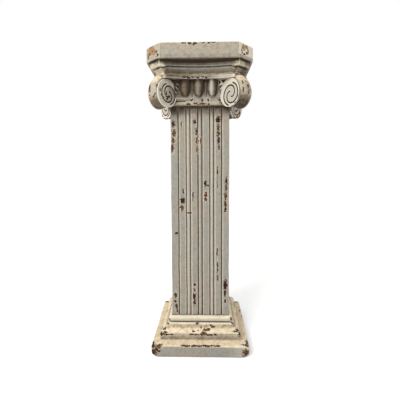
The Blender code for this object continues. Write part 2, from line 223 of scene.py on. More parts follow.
def wear(piece, chips):
    """Sinks each chip into the piece and notes how near its middle every point is, and how dark it is.

    A chip is its middle, its reach along x, y and z, and its darkness: -0.5 is ochre, 0 rust, 1 black.
    """
    points, normals = read_points(piece.data)
    nearness = np.full(len(points), FAR_FROM_A_CHIP)
    darkness = np.zeros(len(points))
    for middle, reach, dark in chips:
        near = 1.0 - np.linalg.norm((points * 1000 - np.array(middle)) / np.array(reach), axis=1)
        darkness = np.where(near > nearness, dark, darkness)
        nearness = np.maximum(nearness, near)
    sunk = np.clip(nearness * CHIP_SLOPE, 0.0, 1.0) * CHIP_DEPTH / 1000
    points -= normals * sunk[:, None]
    piece.data.vertices.foreach_set("co", points.ravel())
    write_values(piece.data, "chip", nearness)
    write_values(piece.data, "char", darkness)
    piece.data.update()


def linear(code):
    """An sRGB hex colour as linear red, green and blue."""
    parts = [int(code[i:i + 2], 16) / 255 for i in (1, 3, 5)]
    return tuple(p / 12.92 if p <= 0.04045 else ((p + 0.055) / 1.055) ** 2.4 for p in parts) + (1.0,)


def add(tree, kind, values=None, links=None, **settings):
    """Adds one node: its settings, the numbers on its sockets and the links into it."""
    node = tree.nodes.new(kind)
    for name, value in settings.items():
        setattr(node, name, value)
    for socket, value in (values or {}).items():
        node.inputs[socket].default_value = value
    for socket, source in (links or {}).items():
        tree.links.new(source, node.inputs[socket])
    return node


# Antique white house paint, brushed thick over the casting, then rubbed with a brown wash that was wiped off
# the high places. It gives the eye a matt, mottled cream on what faces up, lightened there as painted top
# light, a greyer beige on what stands upright, brown wash deepened by painted shade in every hollow, painted
# highlights on edges and lit faces, and rust and black where it has flaked.
PAINT_UPRIGHT = "#857F75"
PAINT_UPWARD_AND_TOP_LIGHT = "#CFBE9F"
PAINT_COOL = "#807E76"
PAINT_STAINED = "#8B7C67"
PAINT_WASHED = "#70665A"
# Pale of paint rubbed free of wash, laid on also as painted highlights on edges and lit faces
PAINT_RUBBED_AND_HIGHLIT = "#C9C1B1"
# Brown of the wash, laid on also as painted shade in hollows, under mouldings and on shaded sides
BROWN_WASH_AND_SHADE = "#564939"
DEEP_BROWN_WASH_AND_SHADE = "#33281E"
RUST = "#563D1F"
OCHRE = "#8E6F49"
BARE_BROWN = "#4A2A17"
CHAR = "#250F0A"
FLAKE_EDGE = "#D2CABA"

paint = bpy.data.materials.new("aged_antique_white_paint")
paint.use_nodes = True
tree = paint.node_tree
shader = tree.nodes["Principled BSDF"]
place = add(tree, "ShaderNodeTexCoord").outputs["Object"]
normal = add(tree, "ShaderNodeNewGeometry").outputs["Normal"]
facing = add(tree, "ShaderNodeSeparateXYZ", links={0: normal}).outputs["Z"]
hollow, chip, char, arris, cream = (
    add(tree, "ShaderNodeAttribute", attribute_name=name).outputs["Fac"]
    for name in ("wash_and_shade", "chip", "char", "arris", "cream")
)
# Clouds 45 mm across, brush dirt of 9 mm, flake edges of 4 mm, blotches of 2 mm, grit of 1.2 mm, and
# runs that follow the height
tall = add(tree, "ShaderNodeMapping", {"Scale": (1.0, 1.0, 0.07)}, {"Vector": place}).outputs["Vector"]
clouds, dirt, flakes, mottle, grit, runs = (
    add(
        tree, "ShaderNodeTexNoise", {"Scale": scale, "Detail": detail, "Roughness": rough}, {"Vector": at}
    ).outputs["Fac"]
    for scale, detail, rough, at in (
        (22.0, 4.0, 0.6, place),
        (110.0, 6.0, 0.7, place),
        (260.0, 5.0, 0.65, place),
        (480.0, 3.0, 0.6, place),
        (830.0, 3.0, 0.6, place),
        (150.0, 4.0, 0.6, tall),
    )
)

# The wash, with the painted shade laid in it, breaks up at its edge with the brush dirt
patchy = add(tree, "ShaderNodeMath", {1: 0.45}, {0: dirt}, operation="ADD").outputs[0]
washed_and_shaded = add(tree, "ShaderNodeMath", links={0: hollow, 1: patchy}, operation="MULTIPLY").outputs[0]
# A chip's edge is torn by the flakes and the grit, and inside it the bare casting is blotched
torn = add(tree, "ShaderNodeMath", {1: 3.0, 2: -1.5}, {0: flakes}, operation="MULTIPLY_ADD").outputs[0]
gritty = add(tree, "ShaderNodeMath", {1: 1.7, 2: -0.85}, {0: grit}, operation="MULTIPLY_ADD").outputs[0]
blotch = add(tree, "ShaderNodeMath", {1: 2.2, 2: -1.95}, {0: mottle}, operation="MULTIPLY_ADD").outputs[0]
edge = chip
for tear in (torn, gritty):
    edge = add(tree, "ShaderNodeMath", links={0: edge, 1: tear}, operation="ADD").outputs[0]
burnt = edge
for darker in (char, blotch):
    burnt = add(tree, "ShaderNodeMath", links={0: burnt, 1: darker}, operation="ADD").outputs[0]

# How far each colour shows: what it goes by, the range of that, and its share at the range's two ends
# The upward share, by how far a face points up, is cream paint and painted top light together; the wash
# shares carry painted shade, and the rubbed share painted highlights.
shares = {}
for name, value, low, high, first, last in (
    ("upward", facing, 0.05, 0.75, 0.0, 1.0),
    ("cool", clouds, 0.42, 0.62, 0.0, 1.0),
    ("runs", runs, 0.52, 0.72, 0.0, 0.2),
    ("mottled", dirt, 0.47, 0.68, 0.0, 0.55),
    ("stained", clouds, 0.36, 0.46, 0.22, 0.0),
    ("wash_and_shade", washed_and_shaded, 0.18, 0.62, 0.0, 0.85),
    ("deep wash", washed_and_shaded, 0.52, 0.85, 0.0, 0.9),
    ("specks", flakes, 0.57, 0.70, 0.0, 0.55),
    ("rubbed_and_highlit", arris, 0.2, 1.0, 0.0, 0.85),
    ("rim", edge, -0.16, -0.04, 0.0, 0.9),
    ("rust", edge, 0.03, 0.12, 0.0, 1.0),
    ("ochre", char, -0.5, 0.0, 1.0, 0.0),
    ("brown", burnt, 0.0, 0.15, 0.0, 1.0),
    ("char", burnt, 0.18, 0.36, 0.0, 1.0),
):
    ends = {"From Min": low, "From Max": high, "To Min": first, "To Max": last}
    easing = "SMOOTHSTEP" if name in ("upward", "wash_and_shade", "deep wash") else "LINEAR"
    ranged = add(tree, "ShaderNodeMapRange", ends, {"Value": value}, interpolation_type=easing)
    shares[name] = ranged.outputs["Result"]
for name, other in (("upward", cream), ("wash_and_shade", shares["specks"])):
    most = add(tree, "ShaderNodeMath", links={0: shares[name], 1: other}, operation="MAXIMUM")
    shares[name] = most.outputs[0]

# The colours are laid on in the order in which they came to the casting; the rust has the colour of
# the node that mixes it with ochre. A mix has its share on socket 0 and its two colours on 6 and 7.
two_greys = {6: linear(PAINT_UPRIGHT), 7: linear(PAINT_COOL)}
body = add(tree, "ShaderNodeMix", two_greys, {0: shares["cool"]}, data_type="RGBA").outputs[2]
two_browns = {6: linear(RUST), 7: linear(OCHRE)}
rusty = add(tree, "ShaderNodeMix", two_browns, {0: shares["ochre"]}, data_type="RGBA").outputs[2]
for name, colour in (
    ("upward", PAINT_UPWARD_AND_TOP_LIGHT),
    ("runs", PAINT_WASHED),
    ("mottled", PAINT_WASHED),
    ("stained", PAINT_STAINED),
    ("wash_and_shade", BROWN_WASH_AND_SHADE),
    ("deep wash", DEEP_BROWN_WASH_AND_SHADE),
    ("rubbed_and_highlit", PAINT_RUBBED_AND_HIGHLIT),
    ("rim", FLAKE_EDGE),
    ("rust", None),
    ("brown", BARE_BROWN),
    ("char", CHAR),
):
    values = {7: linear(colour)} if colour else None
    links = {0: shares[name], 6: body} if colour else {0: shares[name], 6: body, 7: rusty}
    body = add(tree, "ShaderNodeMix", values, links, data_type="RGBA").outputs[2]
tree.links.new(body, shader.inputs["Base Color"])

dull = {"From Min": 0.3, "From Max": 0.7, "To Min": 0.62, "To Max": 0.86}
shine = add(tree, "ShaderNodeMapRange", dull, {"Value": dirt})
tree.links.new(shine.outputs["Result"], shader.inputs["Roughness"])
shader.inputs["IOR"].default_value = 1.48
shader.inputs["Specular IOR Level"].default_value = 0.16
# Brush and casting texture of about 0.3 mm, and the step down from the paint to the bare casting
height = add(tree, "ShaderNodeMath", {1: 0.55}, {0: flakes}, operation="MULTIPLY").outputs[0]
for source, share in ((grit, 0.35), (shares["rust"], -1.2)):
    risen = add(tree, "ShaderNodeMath", {1: share}, {0: source, 2: height}, operation="MULTIPLY_ADD")
    height = risen.outputs[0]
bump = add(tree, "ShaderNodeBump", {"Strength": 0.9, "Distance": 0.0009}, {"Height": height})
tree.links.new(bump.outputs["Normal"], shader.inputs["Normal"])

castings = []


def finish_piece(piece, tone):
    """Paints a piece of the casting and lets it stand for the solid that it belongs to.

    The tone tells, for points in millimetres, how much wash and painted shade lies there, how pale it is,
    rubbed and with painted highlights, and how far it has the cream of the upward faces.
    """
    piece.data.materials.clear()
    piece.data.materials.append(paint)
    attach(piece, "root")
    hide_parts("column_pedestal")
    castings.append((piece, tone))


def scattered(seed, count, sides, across, heights, out, reach):
    """Small chips at fixed chance places on some sides, for what the photo doesn't show."""
    rng = np.random.default_rng(seed)
    chips = []
    for i in range(count):
        side = sides[i % len(sides)] * math.pi / 2
        x = rng.uniform(-across, across)
        z = rng.uniform(*heights)
        wide, tall = rng.uniform(*reach[0]), rng.uniform(*reach[1])
        middle = (x * math.cos(side) + out * math.sin(side), x * math.sin(side) - out * math.cos(side), z)
        spread = (wide, 5.0, tall) if sides[i % len(sides)] % 2 == 0 else (5.0, wide, tall)
        chips.append((middle, spread, rng.uniform(0.2, 1.0)))
    return chips


edge = PLINTH_HALF - PLINTH_ROUND
outline = arc((BEAD_MIDDLE_HALF, LEDGE_TOP + BEAD_RADIUS), BEAD_RADIUS, 90, -90, 14)
outline = [(30.0, LEDGE_TOP + 2 * BEAD_RADIUS)] + outline
outline.append((STEP_HALF - SLOPE_RUN - LEDGE_RUN, LEDGE_TOP))
for i in range(SLOPE_STEPS):
    share = i / SLOPE_STEPS
    wave = SLOPE_WAVE * math.sin(2 * math.pi * share)
    outline.append((STEP_HALF - SLOPE_RUN * (1 - share) - wave, STEP_TOP + SLOPE_RISE * (1 - share) - wave))
outline += arc((STEP_HALF - STEP_ROUND, STEP_TOP - STEP_ROUND), STEP_ROUND, 90, 0, 3)
outline.append((STEP_HALF, PLINTH_HEIGHT + PLINTH_CROWN))
outline += arc((edge, PLINTH_HEIGHT - PLINTH_ROUND), PLINTH_ROUND, 90, 0, 6)
outline += arc((edge, PLINTH_ROUND), PLINTH_ROUND, 0, -90, 6)
outline += [(60.0, 0.0)]
base_rings = []
for half, height in spaced(outline, BASE_GRAIN):
    base_rings.append(level(square_plan(half, BASE_POINTS_A_SIDE), height))
base_rings = np.array(base_rings)
# The foot's corners are knocked round
nearer_side = np.abs(base_rings[:, :, :2]).min(axis=2)
near_corner = np.clip((nearer_side - FOOT_KNOCK_START) / (PLINTH_HALF - FOOT_KNOCK_START), 0, 1)
near_foot = np.clip(1 - base_rings[:, :, 2] / FOOT_KNOCK_HEIGHT, 0, 1)
base_rings[:, :, :2] *= 1 - FOOT_KNOCK * (near_corner * near_foot)[:, :, None] ** 2
base = skin("base", soften(base_rings, 2, 0))


def base_tone(points):
    """Brown wash and painted shade lie on the slope's upper half under the ledge, brown on the step's face;
    the bead and the ledge are rubbed pale.
    """
    x, y, z = points.T
    along, out = on_side(points)
    step_face = (out > STEP_HALF - 2) * (z < STEP_TOP + 0.5)
    # Painted shade under the ledge on the slope's upper half, mixed with wash
    wash_and_shade = 0.34 * rise_from(z, 56, 65) * (out > 84) * (z > 52) * (z < 70.4)
    wash_and_shade -= 1.6 * bump_at(z, 33, 3.5) * (out > STEP_HALF - 2) * (out < 111)
    wash_and_shade += 0.25 * bump_at(z, 2, 3) * (out > 120)
    wash_and_shade += 0.31 * step_face * (z > 36) - 0.5 * bump_at(z, 72.5, 1.6) * (out < 86)
    pale = 0.35 * rise_from(z, 75, 78) + 0.45 * (z > 70.5) * (z < 73) * (out > 82)
    pale += 0.35 * rise_from(along, 30, 110) * (z > 4) * (z < PLINTH_HEIGHT) * (out > 122)
    left_face = rise_from(-x, 82, 86) * (y > x + 6)
    brown_lines = 0.8 * bump_at(z, 50, 2.2) + 0.5 * bump_at(z, 70, 1.6)
    brown_lines += 0.45 * bump_at(z, 34, 1.5) * (out < 112)
    cream = 0.42 * step_face * (z > 33) + 0.1 * rise_from(z, LEDGE_TOP, 75)
    return wash_and_shade + left_face * brown_lines, pale, cream


BASE_CHIPS = [
    ((-122, -125, 32), (10, 8, 5.5), 0.67), ((-120, -127, 14), (10, 9, 11), 0.62),
    ((-112, -127, 20), (7, 6, 7), 0.57), ((-105, -123, 29), (9, 6, 7), 0.22),
    ((-105, -126, 17), (4, 4, 4), 0.72), ((-124, -112, 30), (6, 9, 6), 0.42),
    ((116.5, -127, 14), (12.5, 9, 12), 0.35), ((120, -121, 33), (8, 9, 4), 0.32),
    ((121, -106, 33), (5, 12, 4), 0.35), ((110, -119, 34), (6, 5, 3), 0.3),
    ((-36, -123.5, 31.5), (14, 4, 3.2), 0.47), ((-10, -123.5, 31.5), (19, 4, 2.6), 0.52),
    ((16, -123.5, 31.5), (15, 4, 3.2), 0.52), ((42, -123.5, 32), (13, 4, 2.6), 0.32),
    ((-8, -86, 71), (5, 4, 3), 0.37), ((8, -104, 53), (8, 7, 5), 0.05), ((20, -96, 60), (5, 5, 5), 0.2),
    ((-18, -100, 57), (4, 3, 5), 0.52), ((-10, -105, 50), (9, 4, 2.4), 0.32),
    ((4, -105, 50), (8, 4, 2.4), 0.22), ((18, -105, 50), (9, 4, 2.6), 0.32),
    ((28, -105, 50), (8, 4, 2.4), 0.52), ((-88, -105, 50), (9, 4, 2.4), 0.52),
    ((-74, -105, 50), (7, 4, 2.0), 0.32), ((13, -97, 59), (6, 4, 4), 0.1),
    ((2, -93, 64), (2.6, 3, 3), 0.42), ((-6, -98, 58), (2.6, 3, 3), 0.62), ((24, -95, 61), (3, 3, 3), 0.32),
    ((27, -89, 68), (2.6, 3, 2.6), 0.62), ((36, -92, 65), (2.6, 3, 2.6), 0.52),
    ((-22, -105, 51), (7, 3, 2.5), 0.52), ((38, -105, 51), (8, 3, 2.5), 0.57),
    ((31, -92, 66), (3, 3, 4), 0.52), ((-101, -104, 51), (6, 5, 5), 0.72),
    ((-92, -103, 55), (6, 4, 3), 0.52), ((-95, -94, 61), (5, 5, 5), 0.22),
    ((-87, -86, 70), (5, 4, 3), 0.67), ((-83, -83, 78), (4, 4, 5), 0.67), ((82, -84, 84), (4, 4, 5), 0.42),
    ((84, -84, 72), (4, 4, 3), 0.32), ((97, -96, 61), (5, 4.5, 10), 0.72),
    ((103, -102, 52), (5, 5, 7), 0.82), ((91, -88, 69), (6, 4.5, 6), 0.62),
    ((90, -100, 57), (7, 4, 2), 0.42), ((125, 22, 30), (4, 10, 4), 0.67), ((120, 60, 34), (4, 6, 3), 0.32),
    ((-106, -45, 45), (3, 20, 4), 0.37), ((-113, 117, 33), (8, 8, 5), 0.37),
    ((113, 117, 33), (7, 7, 5), 0.32),
]
BASE_CHIPS += scattered(11, 14, (1, 2, 3), 112, (20, 34), 124.5, ((4, 12), (2, 6)))
BASE_CHIPS += scattered(12, 12, (1, 2, 3), 95, (48, 60), 104, ((3, 9), (2, 5)))
wear(base, BASE_CHIPS)
finish_piece(base, base_tone)


# The shaft: square and a little tapered, with V grooves drawn down it in the mould, so that wide and
# narrow bands alternate. Paint has flaked in runs along the bands.
SHAFT_FOOT, SHAFT_TOP = 80.5, 651.0
SHAFT_FOOT_HALF, SHAFT_TOP_HALF = 75.8, 72.8
BAND_WIDTHS = (20.5, 10.2, 20.5, 10.2, 20.5, 10.2, 20.5)
EDGE_BAND = 1.2
GROOVE_WIDTH = 3.6
GROOVE_DEPTH = 2.6
# How dark each groove is, wash and painted shade together
GROOVE_WASH_AND_SHADE = (0.56, 0.40, 0.48, 0.70, 0.70, 0.54, 0.58, 0.74)
SHAFT_GRAIN = 2.5

grooves = np.cumsum((0.0,) + BAND_WIDTHS) - sum(BAND_WIDTHS) / 2
inner = SHAFT_FOOT_HALF - EDGE_BAND
across = [-SHAFT_FOOT_HALF, -inner]
for first, second in zip([-inner] + list(grooves), list(grooves) + [inner]):
    start = first + GROOVE_WIDTH / 2 if first in grooves else first
    end = second - GROOVE_WIDTH / 2 if second in grooves else second
    steps = max(3, round((end - start) / SHAFT_GRAIN))
    across += list(np.linspace(start, end, steps + 1)[(0 if first in grooves else 1):])
    if second in grooves:
        across += [second - GROOVE_WIDTH / 4, second, second + GROOVE_WIDTH / 4]
across = np.array(across)
nearest = np.abs(across[:, None] - grooves[None, :]).min(axis=1)
depth = GROOVE_DEPTH * np.clip(1 - nearest / (GROOVE_WIDTH / 2), 0, 1)
side = np.column_stack((across, -SHAFT_FOOT_HALF + depth))
heights = np.linspace(SHAFT_TOP, SHAFT_FOOT, round((SHAFT_TOP - SHAFT_FOOT) / SHAFT_GRAIN))
shaft_rings = []
for height in heights:
    taper = 1 + (SHAFT_TOP_HALF / SHAFT_FOOT_HALF - 1) * (height - SHAFT_FOOT) / (SHAFT_TOP - SHAFT_FOOT)
    shaft_rings.append(level(four_sides(side * taper), height))
shaft = skin("shaft", soften(np.array(shaft_rings), 1, 0))


def shaft_tone(points):
    """Brown wash and painted shade in each groove, a painted highlight line beside it, and a painted shadow
    under the capital.
    """
    along, out = on_side(points)
    z = points[:, 2]
    along = along * SHAFT_FOOT_HALF / np.maximum(out, 60)
    away = along[:, None] - grooves[None, :]
    nearest = np.abs(away).argmin(axis=1)
    away = away[np.arange(len(points)), nearest]
    # Brown wash and painted shade in each groove
    wash_and_shade = np.array(GROOVE_WASH_AND_SHADE)[nearest] * bump_at(away, -0.3, 2.6)
    # Painted shadow of the capital on the top of the shaft, deeper on the left
    wash_and_shade += 0.55 * rise_from(z, 588, 628) + 0.25 * rise_from(z, 600, 625) * rise_from(-along, 30, 50)
    wash_and_shade += 0.12 * rise_from(-z, -112, -84)
    # Painted highlight along the lit side of each groove
    pale = 0.20 * bump_at(away, 3.6, 1.8) + 0.06 * bump_at(away, -3.4, 1.6)
    in_narrow_band = rise_from(np.abs(away), 1.5, 3) * rise_from(-np.abs(away), -9, -5)
    pale += 0.10 * np.isin(nearest, (1, 2, 5, 6)) * in_narrow_band
    return wash_and_shade, pale * (1 - rise_from(z, 600, 625)) * rise_from(-np.abs(along), -74, -70), 0 * z


SHAFT_FACE = -75.0
CHIP_REACH_IN = 5.0
# Each is told by its x and z, its reach along them, and its darkness
FRONT_CHIPS = (
    (-28, 365, 6, 1.8, 1.2), (-62, 311, 5, 1.8, 1.2), (-59, 313, 4, 1.8, 1.0), (-66, 588, 4.2, 7.5, 1.1),
    (-65, 567, 7, 12, 0.35), (-67, 549, 5, 9, 0.5), (-69, 530, 4.5, 13, 0.6), (-46, 590, 2, 12, 0.6),
    (-12.8, 594, 3.4, 4.4, 1.2), (-8.5, 571, 4.4, 12, 0.4), (-7, 548, 5, 9, 0.3), (-6, 528, 4, 10, 0.3),
    (2, 547, 2.4, 10, 0.4), (45.5, 598, 4.8, 8, 1.2), (46, 581, 4.8, 13, 0.4), (46, 564, 4.2, 10, 0.8),
    (47, 547, 4.4, 12, 0.7), (48, 531, 3.4, 10, 0.3), (13.5, 441, 3.4, 8, 1.0), (20.5, 435, 2.6, 4, 0.7),
    (14.5, 412, 4.8, 9, 0.5), (14, 400, 4.4, 7, 0.35), (-43, 420, 2.2, 9, 0.9), (-45, 397, 4.8, 8, 1.2),
    (-46.5, 379, 5.0, 9, 0.3), (-18, 410, 1.9, 13, 0.9), (44, 470, 1.9, 14, 0.9), (44, 436, 1.8, 12, 0.8),
    (67, 446, 3.8, 12, 0.8), (66.5, 430, 3.6, 12, 0.35), (65, 408, 4.6, 14, 0.45),
    (64.5, 388, 3.6, 11, 0.6), (65, 373, 3.2, 8, 0.8), (44, 262, 2.0, 14, 0.8), (45, 222, 2.2, 18, 0.7),
    (46, 190, 2.0, 14, 0.8), (-15.5, 173, 3.8, 6, 0.8), (-15, 159, 4.6, 5, 0.4), (-16.5, 140, 4.2, 9, 0.8),
    (-15.5, 125, 3.8, 7, 0.9), (65.5, 172, 4.0, 13, 1.2), (65, 150, 3.6, 14, 0.8), (66, 128, 2.8, 10, 0.8),
    (-66, 143, 4.8, 10, 0.35), (-67, 127, 3.2, 4, 0.9), (-64, 113, 4.0, 9, 0.4), (-62, 101, 2.6, 8, 0.6),
)
SHAFT_CHIPS = [
    ((x, SHAFT_FACE, z), (wide, CHIP_REACH_IN, tall), dark) for x, z, wide, tall, dark in FRONT_CHIPS
]
SHAFT_CHIPS += scattered(21, 42, (1, 2, 3), 66, (110, 610), 74.5, ((1.6, 4.4), (5, 17)))
wear(shaft, SHAFT_CHIPS)
finish_piece(shaft, shaft_tone)


# The body of the capital: a flat wall that leans out a little behind the eggs, a belt, and a half
# round under it, cast with the shaft.
CAPITAL_FOOT = 629.7
NECK_FOOT = 688.0
BELT_TOP = 651.0
BELT_FOOT = 642.5
BELT_BATTER = 1.5
BELT_GROOVE = 5.5
WALL_FOOT_HALF = 86.5
WALL_TOP_HALF = 91.5
ASTRAGAL_RADIUS = 5.8
ASTRAGAL_MIDDLE = (78.7, 636.7)
NECKING_HALF = 76.5
SLOT_END = -34.0
SLOT_FILL_HALF = 84.4
CAPITAL_GRAIN = 1.6
CAPITAL_POINTS = 92

outline = [(40.0, NECK_FOOT + 6), (WALL_TOP_HALF, NECK_FOOT + 6), (WALL_TOP_HALF, NECK_FOOT)]
outline += [(WALL_FOOT_HALF, BELT_TOP)]
outline += [(WALL_FOOT_HALF - BELT_BATTER, BELT_FOOT), (WALL_FOOT_HALF - BELT_GROOVE, BELT_FOOT)]
outline += arc(ASTRAGAL_MIDDLE, ASTRAGAL_RADIUS, 75, -90, 12)
outline += [(NECKING_HALF, CAPITAL_FOOT), (40.0, CAPITAL_FOOT)]
body_rings = []
for half, height in spaced(outline, CAPITAL_GRAIN):
    body_rings.append(level(square_plan(half, CAPITAL_POINTS), height))
# The slot under the belt is open only at the left of each side; elsewhere it filled with the mix
for ring in body_rings:
    along, out = on_side(ring)
    in_slot = (along > SLOT_END) & (ring[:, 2] > BELT_FOOT - 5) & (ring[:, 2] < BELT_FOOT + 1)
    filled = np.where(in_slot, np.maximum(out, SLOT_FILL_HALF), out)
    ring[:, :2] *= (filled / np.maximum(out, 1))[:, None]
capital_body = skin("capital_body", soften(np.array(body_rings), 2, 1))


def capital_tone(points):
    along, out = on_side(points)
    z = points[:, 2]
    # A darker base tone, with painted shade under the astragal and on the left, where the left scroll shades
    # it
    wash_and_shade = 0.27 + 0.02 * rise_from(z, 650, 654) + 0.35 * rise_from(-z, -634, -630)
    wash_and_shade += 0.25 * rise_from(-along, 10, 50) * (z > 640)
    pale = 0.4 * bump_at(z, 648, 2.4) * rise_from(-along, 25, 35) + 0.1 * bump_at(z, 647, 3)
    return wash_and_shade, pale, 0.25 * (z < 645)


CAPITAL_CHIPS = [
    ((-19.6, -86, 643.5), (4.5, 5, 3.5), 0.55), ((6.6, -86, 644), (3.2, 5, 3.5), 0.85),
    ((21, -86, 643.5), (3, 5, 3), 0.7), ((49, -86, 643), (4, 5, 3), 0.6),
    ((-28, -84, 634.5), (7, 5, 3.5), 0.3), ((-10, -84, 636), (7, 5, 3), 0.15),
    ((6, -84, 635), (10, 5, 3), 0.4), ((22, -84, 634), (3, 5, 3), 0.6),
]
CAPITAL_CHIPS += scattered(31, 18, (1, 2, 3), 60, (632, 646), 85, ((2.5, 7), (2, 4)))
wear(capital_body, CAPITAL_CHIPS)
finish_piece(capital_body, capital_tone)


# Eggs in their shells, with a dart between each two and leaf husks by the scrolls. They are cast
# with the wall behind them, and the same row stands on each of the four sides.
EGGS_A_SIDE = 3
EGG_SPACING = 32.7
EGG_WIDTH = 25.0
EGG_OUT = 11.0
EGG_NARROWING = 0.24
EGG_FULLNESS = 3.2
EGG_HALF_HEIGHT = 24.5
EGG_SUNK = 0.6
SHELL_OUT = 0.8
SHELL_GAP = 0.8
SHELL_RADIUS = 1.2
DART_RADIUS = 1.6
DART_POINT = 0.8
ROW_SHIFT = -1.8
HUSK_RADIUS = 3.1


def wall_out(height):
    return WALL_FOOT_HALF + (WALL_TOP_HALF - WALL_FOOT_HALF) * (height - BELT_TOP) / (NECK_FOOT - BELT_TOP)


def ball(columns, rows):
    """Directions on a ball, with its poles up and down, and the faces between them."""
    turns = np.linspace(0, 2 * math.pi, columns, endpoint=False)
    tilts = np.linspace(0, math.pi, rows + 1)[1:-1]
    circle = np.column_stack((np.cos(turns), np.sin(turns)))
    rings = [level(np.sin(tilt) * circle, np.cos(tilt)) for tilt in tilts]
    points = np.vstack(rings + [[(0, 0, 1)], [(0, 0, -1)]])
    return points, skin_faces(len(tilts), columns)


def tube(path, radii, sides=12):
    """A round rod along a path, closed at both ends."""
    path = np.array(path, float)
    ahead = np.gradient(path, axis=0)
    ahead /= np.linalg.norm(ahead, axis=1)[:, None]
    across = np.cross(ahead, (0.0, 1.0, 0.0))
    across /= np.linalg.norm(across, axis=1)[:, None]
    other = np.cross(ahead, across)
    turns = np.linspace(0, 2 * math.pi, sides, endpoint=False)
    rings = []
    for middle, radius, one, two in zip(path, radii, across, other):
        rings.append(middle + radius * (np.outer(np.cos(turns), one) + np.outer(np.sin(turns), two)))
    points = np.vstack(rings + [path[:1], path[-1:]])
    return points, skin_faces(len(path), sides)


def joined(parts):
    points, faces, start = [], [], 0
    for some_points, some_faces in parts:
        points.append(some_points)
        faces += [tuple(start + i for i in face) for face in some_faces]
        start += len(some_points)
    return np.vstack(points), faces


def egg():
    points, faces = ball(28, 22)
    rise = points[:, 2]
    round_width = np.sqrt(np.maximum(1 - rise ** 2, 1e-6))
    full_width = np.maximum(1 - np.abs(rise) ** EGG_FULLNESS, 1e-6) ** (1 / EGG_FULLNESS)
    fuller = np.where(np.abs(rise) < 0.999, full_width / round_width, 1)
    narrow = (1 - EGG_NARROWING * np.maximum(-rise, 0) ** 2) * fuller
    height = BELT_TOP + EGG_HALF_HEIGHT * (1 + rise)
    out = wall_out(height) - EGG_SUNK + EGG_OUT * narrow * -points[:, 1]
    return np.column_stack((EGG_WIDTH / 2 * narrow * points[:, 0] + ROW_SHIFT, -out, height)), faces


def shell():
    path = []
    for angle in np.linspace(math.pi, 2 * math.pi, 25):
        height = BELT_TOP + EGG_HALF_HEIGHT + (EGG_HALF_HEIGHT + SHELL_GAP / 2) * math.sin(angle)
        x = (EGG_WIDTH / 2 + SHELL_GAP) * (1 + EGG_NARROWING * math.sin(angle)) * math.cos(angle)
        path.append((x + ROW_SHIFT, -wall_out(height) - SHELL_OUT, height))
    top = NECK_FOOT + 3
    flank = EGG_WIDTH / 2 + SHELL_GAP
    out = -wall_out(top) - SHELL_OUT
    path = [(ROW_SHIFT - flank, out, top)] + path + [(ROW_SHIFT + flank, out, top)]
    return tube(path, [SHELL_RADIUS] * len(path))


def dart():
    heights = np.linspace(NECK_FOOT + 3, BELT_TOP + 0.5, 14)
    radii = np.interp(heights, (BELT_TOP, BELT_TOP + 14, NECK_FOOT), (DART_POINT, DART_RADIUS, DART_RADIUS))
    return tube([(ROW_SHIFT, -wall_out(height) - 0.9, height) for height in heights], radii)


def row_tree():
    """Sets a row of a piece on the front side, then turns the row to all four sides."""
    group = bpy.data.node_groups.new("row_on_four_sides", "GeometryNodeTree")
    inputs = {"Geometry": "Geometry", "Count": "Int", "Spacing": "Float", "Paint": "Material"}
    for name, kind in inputs.items():
        group.interface.new_socket(name, in_out="INPUT", socket_type="NodeSocket" + kind)
    group.interface.new_socket("Geometry", in_out="OUTPUT", socket_type="NodeSocketGeometry")
    given = add(group, "NodeGroupInput").outputs
    step = add(group, "ShaderNodeCombineXYZ", links={0: given["Spacing"]}).outputs[0]
    places = add(group, "GeometryNodeMeshLine", links={"Count": given["Count"], "Offset": step}).outputs[0]
    gaps = add(group, "ShaderNodeMath", {1: 1.0}, {0: given["Count"]}, operation="SUBTRACT").outputs[0]
    given_step = given["Spacing"]
    reach = add(group, "ShaderNodeMath", links={0: gaps, 1: given_step}, operation="MULTIPLY").outputs[0]
    back = add(group, "ShaderNodeMath", {1: -0.5}, {0: reach}, operation="MULTIPLY").outputs[0]
    shift = add(group, "ShaderNodeCombineXYZ", links={0: back}).outputs[0]
    centred = add(group, "GeometryNodeSetPosition", links={"Geometry": places, "Offset": shift}).outputs[0]
    on_points = {"Points": centred, "Instance": given["Geometry"]}
    row = add(group, "GeometryNodeInstanceOnPoints", links=on_points).outputs[0]
    sides = add(group, "GeometryNodeMeshLine", {"Count": 4, "Offset": (0.0, 0.0, 0.0)}).outputs[0]
    index = add(group, "GeometryNodeInputIndex").outputs[0]
    quarter = add(group, "ShaderNodeMath", {1: math.pi / 2}, {0: index}, operation="MULTIPLY").outputs[0]
    turn = add(group, "ShaderNodeCombineXYZ", links={2: quarter}).outputs[0]
    turn = add(group, "FunctionNodeEulerToRotation", links={0: turn}).outputs[0]
    on_sides = {"Points": sides, "Instance": row, "Rotation": turn}
    ring = add(group, "GeometryNodeInstanceOnPoints", links=on_sides).outputs[0]
    real = add(group, "GeometryNodeRealizeInstances", links={0: ring}).outputs[0]
    painted = add(group, "GeometryNodeSetMaterial", links={"Geometry": real, "Material": given["Paint"]})
    add(group, "NodeGroupOutput", links={0: painted.outputs[0]})
    return group


rows = row_tree()


def on_four_sides(name, shape, count, spacing):
    """Makes one plain mesh of a shape that stands count times on each side."""
    piece = make_mesh(name, *shape)
    modifier = piece.modifiers.new("Row", "NODES")
    modifier.node_group = rows
    given = {item.name: item.identifier for item in rows.interface.items_tree if item.in_out == "INPUT"}
    modifier[given["Count"]] = count
    modifier[given["Spacing"]] = spacing / 1000
    modifier[given["Paint"]] = paint
    mesh = bpy.data.meshes.new_from_object(piece.evaluated_get(bpy.context.evaluated_depsgraph_get()))
    piece.modifiers.clear()
    piece.data = mesh
    mesh.shade_smooth()
    return piece


